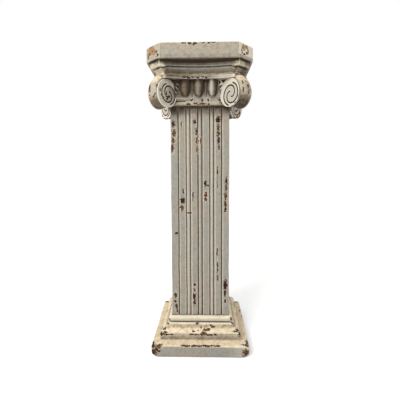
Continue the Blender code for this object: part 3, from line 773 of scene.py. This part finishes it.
def husks():
    """Three leaf tips beside each scroll, and the slanting stem that comes down to them."""
    parts = []
    for sign in (-1, 1):
        edge_x = WALL_TOP_HALF - 40.0 / math.sqrt(2)
        for drop, reach_in, length in ((9.0, 12.5, 11.0), (18.0, 10.0, 10.0), (28.0, 7.0, 8.0)):
            middle = NECK_FOOT - drop
            points, faces = ball(16, 12)
            taper = 1 - 0.45 * points[:, 0]
            lengthways = points[:, 0] * length / 2
            height = middle + HUSK_RADIUS * points[:, 2] * taper - 0.45 * lengthways
            out = wall_out(height) + 0.8 - HUSK_RADIUS * points[:, 1] * taper
            parts.append((np.column_stack((sign * (edge_x - reach_in - lengthways), -out, height)), faces))
        heights = np.linspace(NECK_FOOT + 2, NECK_FOOT - 20, 12)
        path = [(sign * (edge_x - 14.0 + 0.62 * (NECK_FOOT - h)), -wall_out(h) - 1.2, h) for h in heights]
        parts.append(tube(path, [1.7] * len(path)))
    return joined(parts)


eggs = on_four_sides("eggs", egg(), EGGS_A_SIDE, EGG_SPACING)
shells = on_four_sides("egg_shells", shell(), EGGS_A_SIDE, EGG_SPACING)
darts = on_four_sides("darts", dart(), EGGS_A_SIDE - 1, EGG_SPACING)
leaf_husks = on_four_sides("husks", husks(), 1, 0.0)


def egg_tone(points):
    along, out = on_side(points)
    z = points[:, 2]
    proud = rise_from(out - wall_out(z), 1, 6)
    left = rise_from(-along, 12, 34)
    within = (along - ROW_SHIFT + EGG_SPACING * 1.5) % EGG_SPACING - EGG_SPACING / 2
    streak = bump_at(within, -2.6, 3.6)
    # Painted shade: the left eggs, the tops under the lip and each egg's right half are darker, where the
    # scroll, the lip and the light from the left leave them in shade
    wash_and_shade = 0.70 - 0.20 * proud + 0.18 * left - 0.12 * rise_from(along, 5, 25) + 0.3 * bump_at(z, NECK_FOOT, 6)
    wash_and_shade += 0.34 * rise_from(within, 0, 9)
    # Painted highlight: a pale streak on each egg's left, stronger on the eggs to the right
    pale = proud * streak * (0.14 + 0.32 * rise_from(along, 0, 28)) * (1 - left) - 0.22
    return wash_and_shade, pale, 0 * z


def leaf_tone(points):
    along, out = on_side(points)
    # Painted light and shade: the ornament on the left is darker, that on the right paler
    wash_and_shade = 0.32 - 0.2 * rise_from(along, 10, 40)
    pale = 0.35 * rise_from(along, 10, 45) + 0.4 * rise_from(along, 44, 50) - 0.2
    return wash_and_shade, pale, 0 * out


for ornament, tone in ((eggs, egg_tone), (shells, leaf_tone), (darts, leaf_tone), (leaf_husks, leaf_tone)):
    wear(ornament, [])
    finish_piece(ornament, tone)


# The neck moulding under the slab: its four sides are hollow in plan, with a band, a fillet, a cove
# and a lip, and its cut corners carry a plainer run of the same.
SLAB_FOOT = 728.0
SLAB_HALF = 126.3
CUT_DISTANCE = 152.8
NECK_BAND_HALF = 103.5
NECK_SAGITTA = 12.0
NECK_CHORD = 172.0
NECK_BAND_FOOT = 716.5
NECK_COVE_TOP = 712.0
NECK_LIP_TOP = 693.5
CORNER_BAND_DROP = 4.0
NECK_GRAIN = 1.7

neck_radius = ((NECK_CHORD / 2) ** 2 + NECK_SAGITTA ** 2) / (2 * NECK_SAGITTA)
neck_axis = NECK_BAND_HALF + neck_radius


def eased(value, start, end, first, last):
    share = np.clip((value - start) / (end - start), 0.0, 1.0)
    return first + (last - first) * (1 - np.cos(math.pi * share)) / 2


def hollow_plan(out, cut, along=84, flat=18):
    """Four hollow sides at their distance out, joined by flats at the cut corners' distance."""
    radius = neck_axis - out
    low, high = 0.0, radius
    for i in range(40):
        x = (low + high) / 2
        if x + neck_axis - math.sqrt(radius ** 2 - x ** 2) < cut * math.sqrt(2):
            low = x
        else:
            high = x
    xs = np.linspace(-x, x, along + 1)
    front = np.column_stack((xs, np.sqrt(radius ** 2 - xs ** 2) - neck_axis))
    end, turned_end = front[-1], np.array((-front[-1][1], -front[-1][0]))
    corner = [end + (turned_end - end) * i / flat for i in range(1, flat)]
    return four_sides(np.vstack((front, corner)))


fillet, lip = NECK_BAND_HALF - 5.5, NECK_BAND_HALF + 1.5
band_cut = CUT_DISTANCE - 4.5
fillet_cut = band_cut - 6.5
cove_cut = fillet_cut - 6.5
profile = [(60.0, 108.0, SLAB_FOOT + 3), (NECK_BAND_HALF, band_cut, SLAB_FOOT + 3)]
profile += [(NECK_BAND_HALF, band_cut, NECK_BAND_FOOT)]
profile += [(fillet, fillet_cut, NECK_BAND_FOOT), (fillet, fillet_cut, NECK_COVE_TOP)]
for i in range(1, 15):
    share = i / 15
    flare = eased(share, 0.45, 1.0, 0.0, lip - fillet)
    sunk = 5.0 * math.sin(math.pi * min(share / 0.9, 1.0))
    cut = fillet_cut - 6.5 * min(share / 0.5, 1.0) + 2.6 * max(share - 0.5, 0.0) / 0.5
    profile.append((fillet + flare - sunk, cut, NECK_COVE_TOP + (NECK_LIP_TOP - NECK_COVE_TOP) * share))
profile += [(lip, cove_cut + 2.6, NECK_LIP_TOP), (lip, cove_cut + 2.6, NECK_FOOT), (60.0, 100.0, NECK_FOOT)]
neck_rings = [level(hollow_plan(out, cut), height) for out, cut, height in spaced(profile, NECK_GRAIN)]
neck_rings = np.array(neck_rings)
# On the cut corners the band reaches further down than on the sides
near_corner = np.clip((np.abs(neck_rings[:, :, :2]).min(axis=2) - 74) / 6, 0, 1)
near_band_foot = bump_at(neck_rings[:, :, 2], (NECK_BAND_FOOT + NECK_COVE_TOP) / 2, 5)
neck_rings[:, :, 2] -= CORNER_BAND_DROP * near_corner * near_band_foot
neck = skin("neck_moulding", soften(neck_rings, 1, 0))


def neck_tone(points):
    along, out = on_side(points)
    z = points[:, 2]
    corner = rise_from(np.abs(along), 78, 84)
    front_right = rise_from(points[:, 0] - points[:, 1], 160, 170)
    # Painted shadow of the slab on the band just beneath it
    wash_and_shade = 0.7 * rise_from(z, 722.5, 726.5) + 0.3 * (z > NECK_BAND_FOOT) - 0.02 * bump_at(z, 700, 8)
    wash_and_shade += 0.5 * bump_at(z, NECK_LIP_TOP + 1.5, 3.5) + 0.2 * (z < NECK_LIP_TOP)
    # Painted shade on the left part, which the left scroll shades
    wash_and_shade += 0.18 * rise_from(-along, 0, 70)
    # Painted light and shade on the cut corners: the left corner lighter, the right corner darker, with a
    # painted shadow line under each corner step
    wash_and_shade -= (0.28 - 0.46 * front_right) * corner * rise_from(-z, -722, -714)
    wash_and_shade += 0.6 * corner * bump_at(z, NECK_BAND_FOOT - CORNER_BAND_DROP - 1.5, 1.6)
    # Painted light on the lit left corner and on the right part of the lip
    pale = 0.2 * corner * (1 - front_right) * (z < NECK_BAND_FOOT)
    pale += 0.5 * rise_from(along, 10, 60) * (z < NECK_LIP_TOP + 2)
    return wash_and_shade, pale, 0.5 * corner


NECK_CHIPS = [
    ((-34, -106, 691.5), (7, 5, 2.2), 0.9), ((-25, -106, 690), (5, 5, 2.2), 0.8),
    ((-15, -106, 692), (6, 5, 2.2), 0.9), ((-4, -105, 690.5), (5, 5, 2.2), 0.8),
    ((8, -105, 692), (4, 5, 2.0), 0.8), ((16, -106, 690.5), (4, 5, 2.0), 0.8),
    ((73, -112, 711), (2.4, 4, 3.2), 0.9), ((70, -110, 699), (1.8, 4, 2.4), 0.8),
]
NECK_CHIPS += scattered(41, 12, (1, 2, 3), 60, (688, 694), 106, ((3, 7), (2, 3.4)))
wear(neck, NECK_CHIPS)
finish_piece(neck, neck_tone)


# The top slab: a flat square block with its corners cut off, on which the vase or bust stands. The
# brown casting shows along its top edge and on its cut corners.
HEIGHT = 762.0
SLAB_TOP_ROUND = 3.5
SLAB_FOOT_ROUND = 1.5
SLAB_GRAIN = 2.0


def cut_square_plan(half, cut, along=88, flat=22):
    reach = cut * math.sqrt(2) - half
    xs = np.linspace(-reach, reach, along + 1)
    front = np.column_stack((xs, np.full(along + 1, -half)))
    end, turned_end = front[-1], np.array((half, -reach))
    corner = [end + (turned_end - end) * i / flat for i in range(1, flat)]
    return four_sides(np.vstack((front, corner)))


outline = [(-80.0, HEIGHT), (-40.0, HEIGHT), (-20.0, HEIGHT), (-10.0, HEIGHT)]
outline += arc((-SLAB_TOP_ROUND, HEIGHT - SLAB_TOP_ROUND), SLAB_TOP_ROUND, 90, 0, 5)
outline += arc((-SLAB_FOOT_ROUND, SLAB_FOOT + SLAB_FOOT_ROUND), SLAB_FOOT_ROUND, 0, -90, 3)
outline += [(-10.0, SLAB_FOOT), (-40.0, SLAB_FOOT), (-80.0, SLAB_FOOT)]
slab_rings = []
for inset, height in spaced(outline, SLAB_GRAIN):
    if inset > -30:
        plan = cut_square_plan(SLAB_HALF + inset, CUT_DISTANCE + inset * 1.02)
    else:
        plan = cut_square_plan(SLAB_HALF, CUT_DISTANCE) * (1 + inset / SLAB_HALF)
    slab_rings.append(level(plan, height))
slab = skin("slab", soften(np.array(slab_rings), 1, 0))


def slab_tone(points):
    """A thin brown veil on the upright faces, more at the foot, painted shade beneath; the cut right face is
    pale.
    """
    x, y, z = points.T
    along, out = on_side(points)
    # Painted shade on the slab's underside
    wash_and_shade = 0.45 * (z < SLAB_FOOT + 0.8) * (out < 121) + 0.27 * (out > 125) * (z < HEIGHT - 3)
    wash_and_shade += 0.1 * rise_from(-z, -(SLAB_FOOT + 1.5), -SLAB_FOOT) + 0.12 * bump_at(z, SLAB_FOOT + 4, 4)
    front_right = (x - y > 214.5) * (y > -125.4) * (x < 125.4)
    pale = 0.85 * front_right * rise_from(z, SLAB_FOOT + 4, SLAB_FOOT + 10)
    return wash_and_shade, pale, 0.14 + 0 * z


SLAB_CHIPS = [
    ((-33, -125, 760), (7, 5, 3.2), 0.5), ((-21, -125, 759), (6, 5, 4), 0.45),
    ((-10, -125, 758.5), (7, 5, 4.5), 0.55), ((8, -125, 760.5), (6, 5, 3), 0.45),
    ((22, -125, 760), (7, 5, 3), 0.5), ((33, -125, 760), (5, 5, 3), 0.4),
    ((-111, -104, 753), (14, 14, 10), -0.4), ((-103, -112, 746), (9, 9, 8), -0.35),
    ((-120, -96, 742), (4, 4, 10), -0.1), ((-115, -101, 745), (4, 4, 4), 0.5),
    ((-109, -107, 749), (3, 3, 4), 0.4), ((-97, -119, 744), (3, 3, 4), 0.6),
    ((-94, -121, 735), (5, 5, 4), 0.8), ((-114, -102, 760), (10, 10, 2.4), 0.2),
    ((101, -115, 752), (6, 6, 7), -0.5), ((109, -107, 755), (7, 7, 4), -0.5),
    ((113, -103, 749), (3, 3, 7), -0.3), ((110, -106, 742), (4, 4, 3), 0.9),
    ((103, -113, 738), (5, 5, 2.4), 0.8), ((97, -119, 745), (2.6, 2.6, 6), 0.3),
]
SLAB_CHIPS += scattered(51, 18, (1, 2, 3), 88, (752, 762), 125, ((3, 9), (2, 5)))
wear(slab, SLAB_CHIPS)
finish_piece(slab, slab_tone)


# The four corner scrolls: each is a thick disc that stands upright in the plane through a corner,
# with a swelling roll between two flat faces, and a two-armed spiral groove cut in each face.
SCROLL_HALF_THICK = 20.0
SCROLL_THICKER = 6.0
SCROLL_OUT = 127.0
SCROLL_UP = 656.0
SCROLL_HALF_WIDTH = 28.5
SCROLL_HALF_HEIGHT = 32.5
ROLL_SHIFT_IN = 2.0
ROLL_RISE = 7.0
ROLL_SWELL_OUT = 6.0
ROLL_SWELL_UP = 4.5
LIP_WIDTH = 2.8
LIP_GROOVE = 1.0
SPIRAL_DEPTH = 3.0
SPIRAL_HALF_WIDTH = 1.5
SPIRAL_LIMIT = 0.96
FACE_RINGS = 44
SCROLL_POINTS = 144


# A groove's place as a share of the face's radius, by how far it has turned from its start
SPIRAL_TURNS = (20, 50, 110, 160, 205, 250, 290, 330, 360)
SPIRAL_SHARES = (0.79, 0.78, 0.71, 0.64, 0.57, 0.42, 0.31, 0.22, 0.16)
# Corners run round from the back right. By hand each spiral came out a little off: its shift inwards
# and down, and its size
BACK_RIGHT, BACK_LEFT, FRONT_LEFT, FRONT_RIGHT = range(4)
SPIRAL_PLACES = ((0.0, 2.0, 0.92), (0.0, 2.0, 0.92), (3.6, 1.8, 0.93), (-1.0, 4.2, 1.0))
# How pale the faces of each were rubbed, with painted light making the faces turned towards the light paler
SCROLL_PALE = (0.9, 0.85, 0.62, 0.72)


def spiral_share(along, up, corner):
    """Each place on a face as a share of the spiral's radius and an angle from the top outwards."""
    shift_in, shift_down, size = SPIRAL_PLACES[corner]
    sideways = (along - SCROLL_OUT + shift_in) / (SCROLL_HALF_WIDTH * size)
    upward = (up - SCROLL_UP + shift_down) / (SCROLL_HALF_HEIGHT * size)
    return np.hypot(sideways, upward), np.degrees(np.arctan2(sideways, upward)) % 360


def spiral_at(along, up, corner):
    """Depth of the two-armed spiral groove at places on a face."""
    share, degrees = spiral_share(along, up, corner)
    mean_radius = (SCROLL_HALF_WIDTH + SCROLL_HALF_HEIGHT) / 2
    depth = np.zeros(len(degrees))
    for arm in (0, 180):
        turn = (degrees - arm) % 360
        away = (share - np.interp(turn, SPIRAL_TURNS, SPIRAL_SHARES)) * mean_radius
        fade = eased(turn, 6, 26, 0, 1) * eased(turn, 336, 358, 1, 0)
        depth = np.maximum(depth, fade * bump_at(away, 0, SPIRAL_HALF_WIDTH))
    return depth * SPIRAL_DEPTH


def diagonal(corner):
    """The direction out through a corner, as its cosine and sine."""
    angle = math.pi / 4 + corner * math.pi / 2
    return math.cos(angle), math.sin(angle)


def scroll_ring(share, across, grow, shrink, corner):
    """One ring of a scroll's skin: its share of the radius, distance across, growth and shrinking."""
    angle = np.radians(np.arange(SCROLL_POINTS) * 360 / SCROLL_POINTS)
    thicker = SCROLL_THICKER if corner == FRONT_RIGHT and across < 0 else 0.0
    wide = SCROLL_HALF_WIDTH + ROLL_SWELL_OUT * grow - shrink
    high = SCROLL_HALF_HEIGHT + ROLL_SWELL_UP * grow - shrink
    out = SCROLL_OUT - ROLL_SHIFT_IN * grow - thicker * 0.5 * (1 - grow) + share * wide * np.sin(angle)
    up = SCROLL_UP + ROLL_RISE * grow + share * high * np.cos(angle)
    on_face = grow == 0 and shrink == 0 and share < SPIRAL_LIMIT
    sunk = spiral_at(out, up, corner) if on_face else np.zeros(SCROLL_POINTS)
    across = across * (1 + thicker / SCROLL_HALF_THICK) - math.copysign(1, across) * sunk
    cos_c, sin_c = diagonal(corner)
    return np.column_stack((out * cos_c - across * sin_c, out * sin_c + across * cos_c, up))


def rim_chips(corner):
    """A few small chips at fixed chance places round a scroll's rim."""
    rng = np.random.default_rng(61 + corner)
    x_sign = 1 if corner in (BACK_RIGHT, FRONT_RIGHT) else -1
    y_sign = 1 if corner in (BACK_RIGHT, BACK_LEFT) else -1
    chips = []
    for i in range(5):
        lean = rng.uniform(-12, 12)
        middle = (x_sign * (110 + lean), y_sign * (110 - lean), rng.uniform(628, 690))
        reach = (rng.uniform(2, 5), rng.uniform(2, 5), rng.uniform(2, 6))
        chips.append((middle, reach, rng.uniform(0.0, 0.5)))
    return chips


def scroll_tone(corner):
    """The tone of one scroll: wash and painted shade in its grooves, painted shade under its roll and along
    its face edge, and pale faces.
    """
    cos_c, sin_c = diagonal(corner)
    front_right = corner == FRONT_RIGHT

    def tone(points):
        x, y, z = points.T
        along = x * cos_c + y * sin_c
        across = y * cos_c - x * sin_c
        thick = SCROLL_HALF_THICK + SCROLL_THICKER * (front_right & (across < 0))
        across = np.abs(across * SCROLL_HALF_THICK / thick)
        face = rise_from(across, 15.5, 16.5)
        roll = 1 - rise_from(across, 16.0, 16.8)
        groove = (spiral_at(along, z, corner) / SPIRAL_DEPTH) ** 0.8
        share, degrees = spiral_share(along, z, corner)
        inside = rise_from(-share, -0.78, -0.66)
        under = rise_from(-z, -668, -630)
        # Wash and painted shade in the spiral grooves, and painted shade on the lower part of the roll
        wash_and_shade = face * 0.85 * groove + roll * (0.85 if front_right else 0.7) * under
        # Painted shade line where the face meets the roll
        wash_and_shade += 0.4 * bump_at(across, 16.2, 0.9)
        # Painted shade on the front left face, which faces away from the light
        if corner == FRONT_LEFT:
            wash_and_shade += face * inside * (0.2 + 0.4 * rise_from(degrees, 140, 220))
        pale = face * (1 - groove * 1.3).clip(0, 1) * SCROLL_PALE[corner] * (1 - 0.35 * inside)
        return wash_and_shade, pale, (0.36 if front_right else 0.22) * roll

    return tone


rim = SCROLL_HALF_THICK - LIP_WIDTH
half_scroll = [(share, SCROLL_HALF_THICK, 0.0, 0.0) for share in np.linspace(0.02, 0.98, FACE_RINGS)]
half_scroll += [(1.0, SCROLL_HALF_THICK - 0.6, 0.0, 0.0), (1.0, rim + 0.4, 0.0, 0.0)]
half_scroll += [(1.0, rim, 0.0, LIP_GROOVE), (1.0, rim - 0.8, 0.0, LIP_GROOVE)]
for angle in np.radians(np.linspace(0, 90, 13)[1:]):
    half_scroll.append((1.0, (rim - 0.8) * math.cos(angle), math.sin(angle), 0.0))
other_half = [(share, -across, grow, shrink) for share, across, grow, shrink in reversed(half_scroll[:-1])]

SCROLL_CHIPS = {
    "scroll_back_right": [
        ((110, 82, 630), (9, 9, 5), -0.3), ((100, 72, 626), (6, 6, 4), -0.2),
        ((116, 88, 641), (4, 4, 9), -0.2), ((104, 76, 646), (5, 5, 5), 0.2),
    ],
    "scroll_back_left": [
        ((-118, 90, 633), (5, 5, 6), -0.1), ((-111, 83, 626), (7, 7, 4), -0.1),
        ((-101, 73, 625), (5, 5, 3), 0.1), ((-104, 76, 650), (4, 4, 4), 0.2),
    ],
    "scroll_front_left": [
        ((-119, -108, 668), (6, 8, 13), 0.1), ((-122, -110, 655), (4, 6, 10), 0.15),
        ((-98, -118, 669), (3.5, 3.5, 5), 0.8), ((-84, -98, 668), (3, 3, 5), 0.95),
        ((-86.7, -115, 651), (3, 3, 5), 0.2), ((-84, -112.4, 645), (3, 3, 4), 0.7),
        ((-77, -105.5, 656), (2.4, 2.4, 5), 0.3), ((-75.9, -104.2, 643), (3.4, 3.4, 4), 0.9),
        ((-72.5, -100.8, 648), (3, 3, 4), 1.0), ((-89.8, -118, 660), (2.4, 2.4, 5), 0.0),
    ],
    "scroll_front_right": [
        ((108, -118, 678), (3, 6, 4), 0.8), ((114, -114, 668), (4, 6, 8), 0.35),
        ((117, -112, 652), (5, 7, 14), 0.3), ((100, -120, 676), (3, 4, 6), 0.6),
        ((101, -122, 660), (2.4, 3, 10), 0.35), ((99, -121, 642), (3, 4, 9), 0.5),
        ((91.5, -128, 668), (3, 3, 9), -0.3), ((89.5, -126, 641), (3, 3, 8), -0.2),
        ((84, -121, 628.6), (5, 5, 4), -0.2), ((76, -112.7, 622.5), (6, 6, 3), 0.0),
        ((67, -104, 621), (5, 5, 3), -0.1), ((113.8, -75.7, 678), (4, 5, 7), -0.2),
        ((119.7, -69.8, 665), (4, 5, 8), -0.1), ((120.8, -68.7, 653), (4, 5, 8), 0.1),
        ((116, -73.6, 643), (4, 5, 6), 0.1),
    ],
}
for corner, name in enumerate(SCROLL_CHIPS):
    scroll = skin(name, np.array([scroll_ring(*ring, corner) for ring in half_scroll + other_half]))
    wear(scroll, SCROLL_CHIPS[name] + rim_chips(corner))
    finish_piece(scroll, scroll_tone(corner))


# The brown wash and painted shade: the wash was brushed over the whole pedestal and wiped off, so that it
# stays in the hollows, and the darkening there is painted ambient shade as well. How closed in each point is
# comes from short rays, and how proud it stands from its neighbours.
HOLLOW_REACH = 34.0
HOLLOW_RAYS = 14
SHADE_AND_WASH_IN_HOLLOW = 1.35
WASH_SHADE_AND_HIGHLIGHT_BY_STEP = 2.0

all_points, all_faces, start = [], [], 0
for piece, tone in castings:
    points, normals = read_points(piece.data)
    all_points.append(points)
    all_faces += [[start + i for i in face.vertices] for face in piece.data.polygons]
    start += len(points)
solid = BVHTree.FromPolygons(np.vstack(all_points).tolist(), all_faces)
turn = np.arange(HOLLOW_RAYS) * math.pi * (3 - math.sqrt(5))
rise = np.sqrt(1 - (np.arange(HOLLOW_RAYS) + 0.5) / HOLLOW_RAYS)
flat = np.sqrt(1 - rise ** 2)
fan = np.column_stack((flat * np.cos(turn), flat * np.sin(turn), rise))
reach = HOLLOW_REACH / 1000
for piece, tone in castings:
    points, normals = read_points(piece.data)
    helper = np.where(np.abs(normals[:, 2:3]) < 0.9, (0.0, 0.0, 1.0), (1.0, 0.0, 0.0))
    across = np.cross(helper, normals)
    across /= np.maximum(np.linalg.norm(across, axis=1), 1e-9)[:, None]
    other = np.cross(normals, across)
    closed = np.zeros(len(points))
    starts = points + normals * 0.0003
    for ray in fan:
        aims = across * ray[0] + other * ray[1] + normals * ray[2]
        for i, (origin, aim) in enumerate(zip(starts.tolist(), aims.tolist())):
            distance = solid.ray_cast(origin, aim, reach)[3]
            if distance is not None:
                closed[i] += 1 - distance / reach
    ends = np.zeros(len(piece.data.edges) * 2, np.int64)
    piece.data.edges.foreach_get("vertices", ends)
    ends = ends.reshape(-1, 2)
    total = np.zeros_like(points)
    number = np.zeros(len(points))
    for a, b in ((0, 1), (1, 0)):
        np.add.at(total, ends[:, a], points[ends[:, b]])
        np.add.at(number, ends[:, a], 1)
    proud = ((points - total / np.maximum(number, 1)[:, None]) * normals).sum(axis=1) * 1000
    left, pale, creamy = tone(points * 1000)
    in_hollow = closed / HOLLOW_RAYS * SHADE_AND_WASH_IN_HOLLOW
    # Sunk and closed-in points get wash with painted shade; proud points get rubbed pale with painted
    # highlights
    write_values(piece.data, "wash_and_shade", in_hollow + np.clip(-proud * WASH_SHADE_AND_HIGHLIGHT_BY_STEP, 0.0, 0.5) + left)
    write_values(piece.data, "arris", np.clip(proud * WASH_SHADE_AND_HIGHLIGHT_BY_STEP, -0.5, 0.5) + pale)
    write_values(piece.data, "cream", creamy)


# A plain white studio floor.
floor_mesh = bpy.data.meshes.new("floor")
floor_mesh.from_pydata([(-6, -6, 0), (6, -6, 0), (6, 6, 0), (-6, 6, 0)], [], [(0, 1, 2, 3)])
floor = bpy.data.objects.new("floor", floor_mesh)
bpy.context.scene.collection.objects.link(floor)
white = bpy.data.materials.new("pale_studio_floor")
white.use_nodes = True
white.node_tree.nodes["Principled BSDF"].inputs["Base Color"].default_value = linear("#FEFEFD")
white.node_tree.nodes["Principled BSDF"].inputs["Roughness"].default_value = 0.9
floor_mesh.materials.append(white)


# Soft studio light: an even white room, with one broad lamp high on the left in front.
LAMP_PLACE = Vector((-1.2, -1.75, 2.0))
LAMP_AIM = Vector((0.0, 0.0, 0.45))
world = bpy.data.worlds.new("white_room")
world.use_nodes = True
world.node_tree.nodes["Background"].inputs["Color"].default_value = (1.0, 1.0, 1.0, 1.0)
world.node_tree.nodes["Background"].inputs["Strength"].default_value = 1.0
bpy.context.scene.world = world
lamp_data = bpy.data.lights.new("broad_lamp", "AREA")
lamp_data.shape = "SQUARE"
lamp_data.size = 1.4
lamp_data.energy = 62.0
lamp = bpy.data.objects.new("broad_lamp", lamp_data)
lamp.location = LAMP_PLACE
lamp.rotation_euler = (LAMP_AIM - LAMP_PLACE).to_track_quat("-Z", "Y").to_euler()
bpy.context.scene.collection.objects.link(lamp)
bpy.context.scene.view_settings.view_transform = "Standard"


# The camera stands a little above the middle of the column, close, and looks slightly down.
EYE = Vector((0.01625, -0.8142, 0.4853))
PITCH, YAW, ROLL = 0.1167, 0.0224, 0.0035
FOCAL_PIXELS = 291.28
ahead = Vector((-math.sin(YAW) * math.cos(PITCH), math.cos(YAW) * math.cos(PITCH), -math.sin(PITCH)))
right = Vector((math.cos(YAW), math.sin(YAW), 0.0))
above = right.cross(ahead)
image_right = right * math.cos(ROLL) - above * math.sin(ROLL)
image_up = right * math.sin(ROLL) + above * math.cos(ROLL)
camera_data = bpy.data.cameras.new("camera")
camera_data.sensor_width = 36.0
camera_data.lens = FOCAL_PIXELS / 400 * 36.0
camera = bpy.data.objects.new("camera", camera_data)
camera.matrix_world = Matrix.Translation(EYE) @ Matrix((image_right, image_up, -ahead)).transposed().to_4x4()
bpy.context.scene.collection.objects.link(camera)
bpy.context.scene.camera = camera
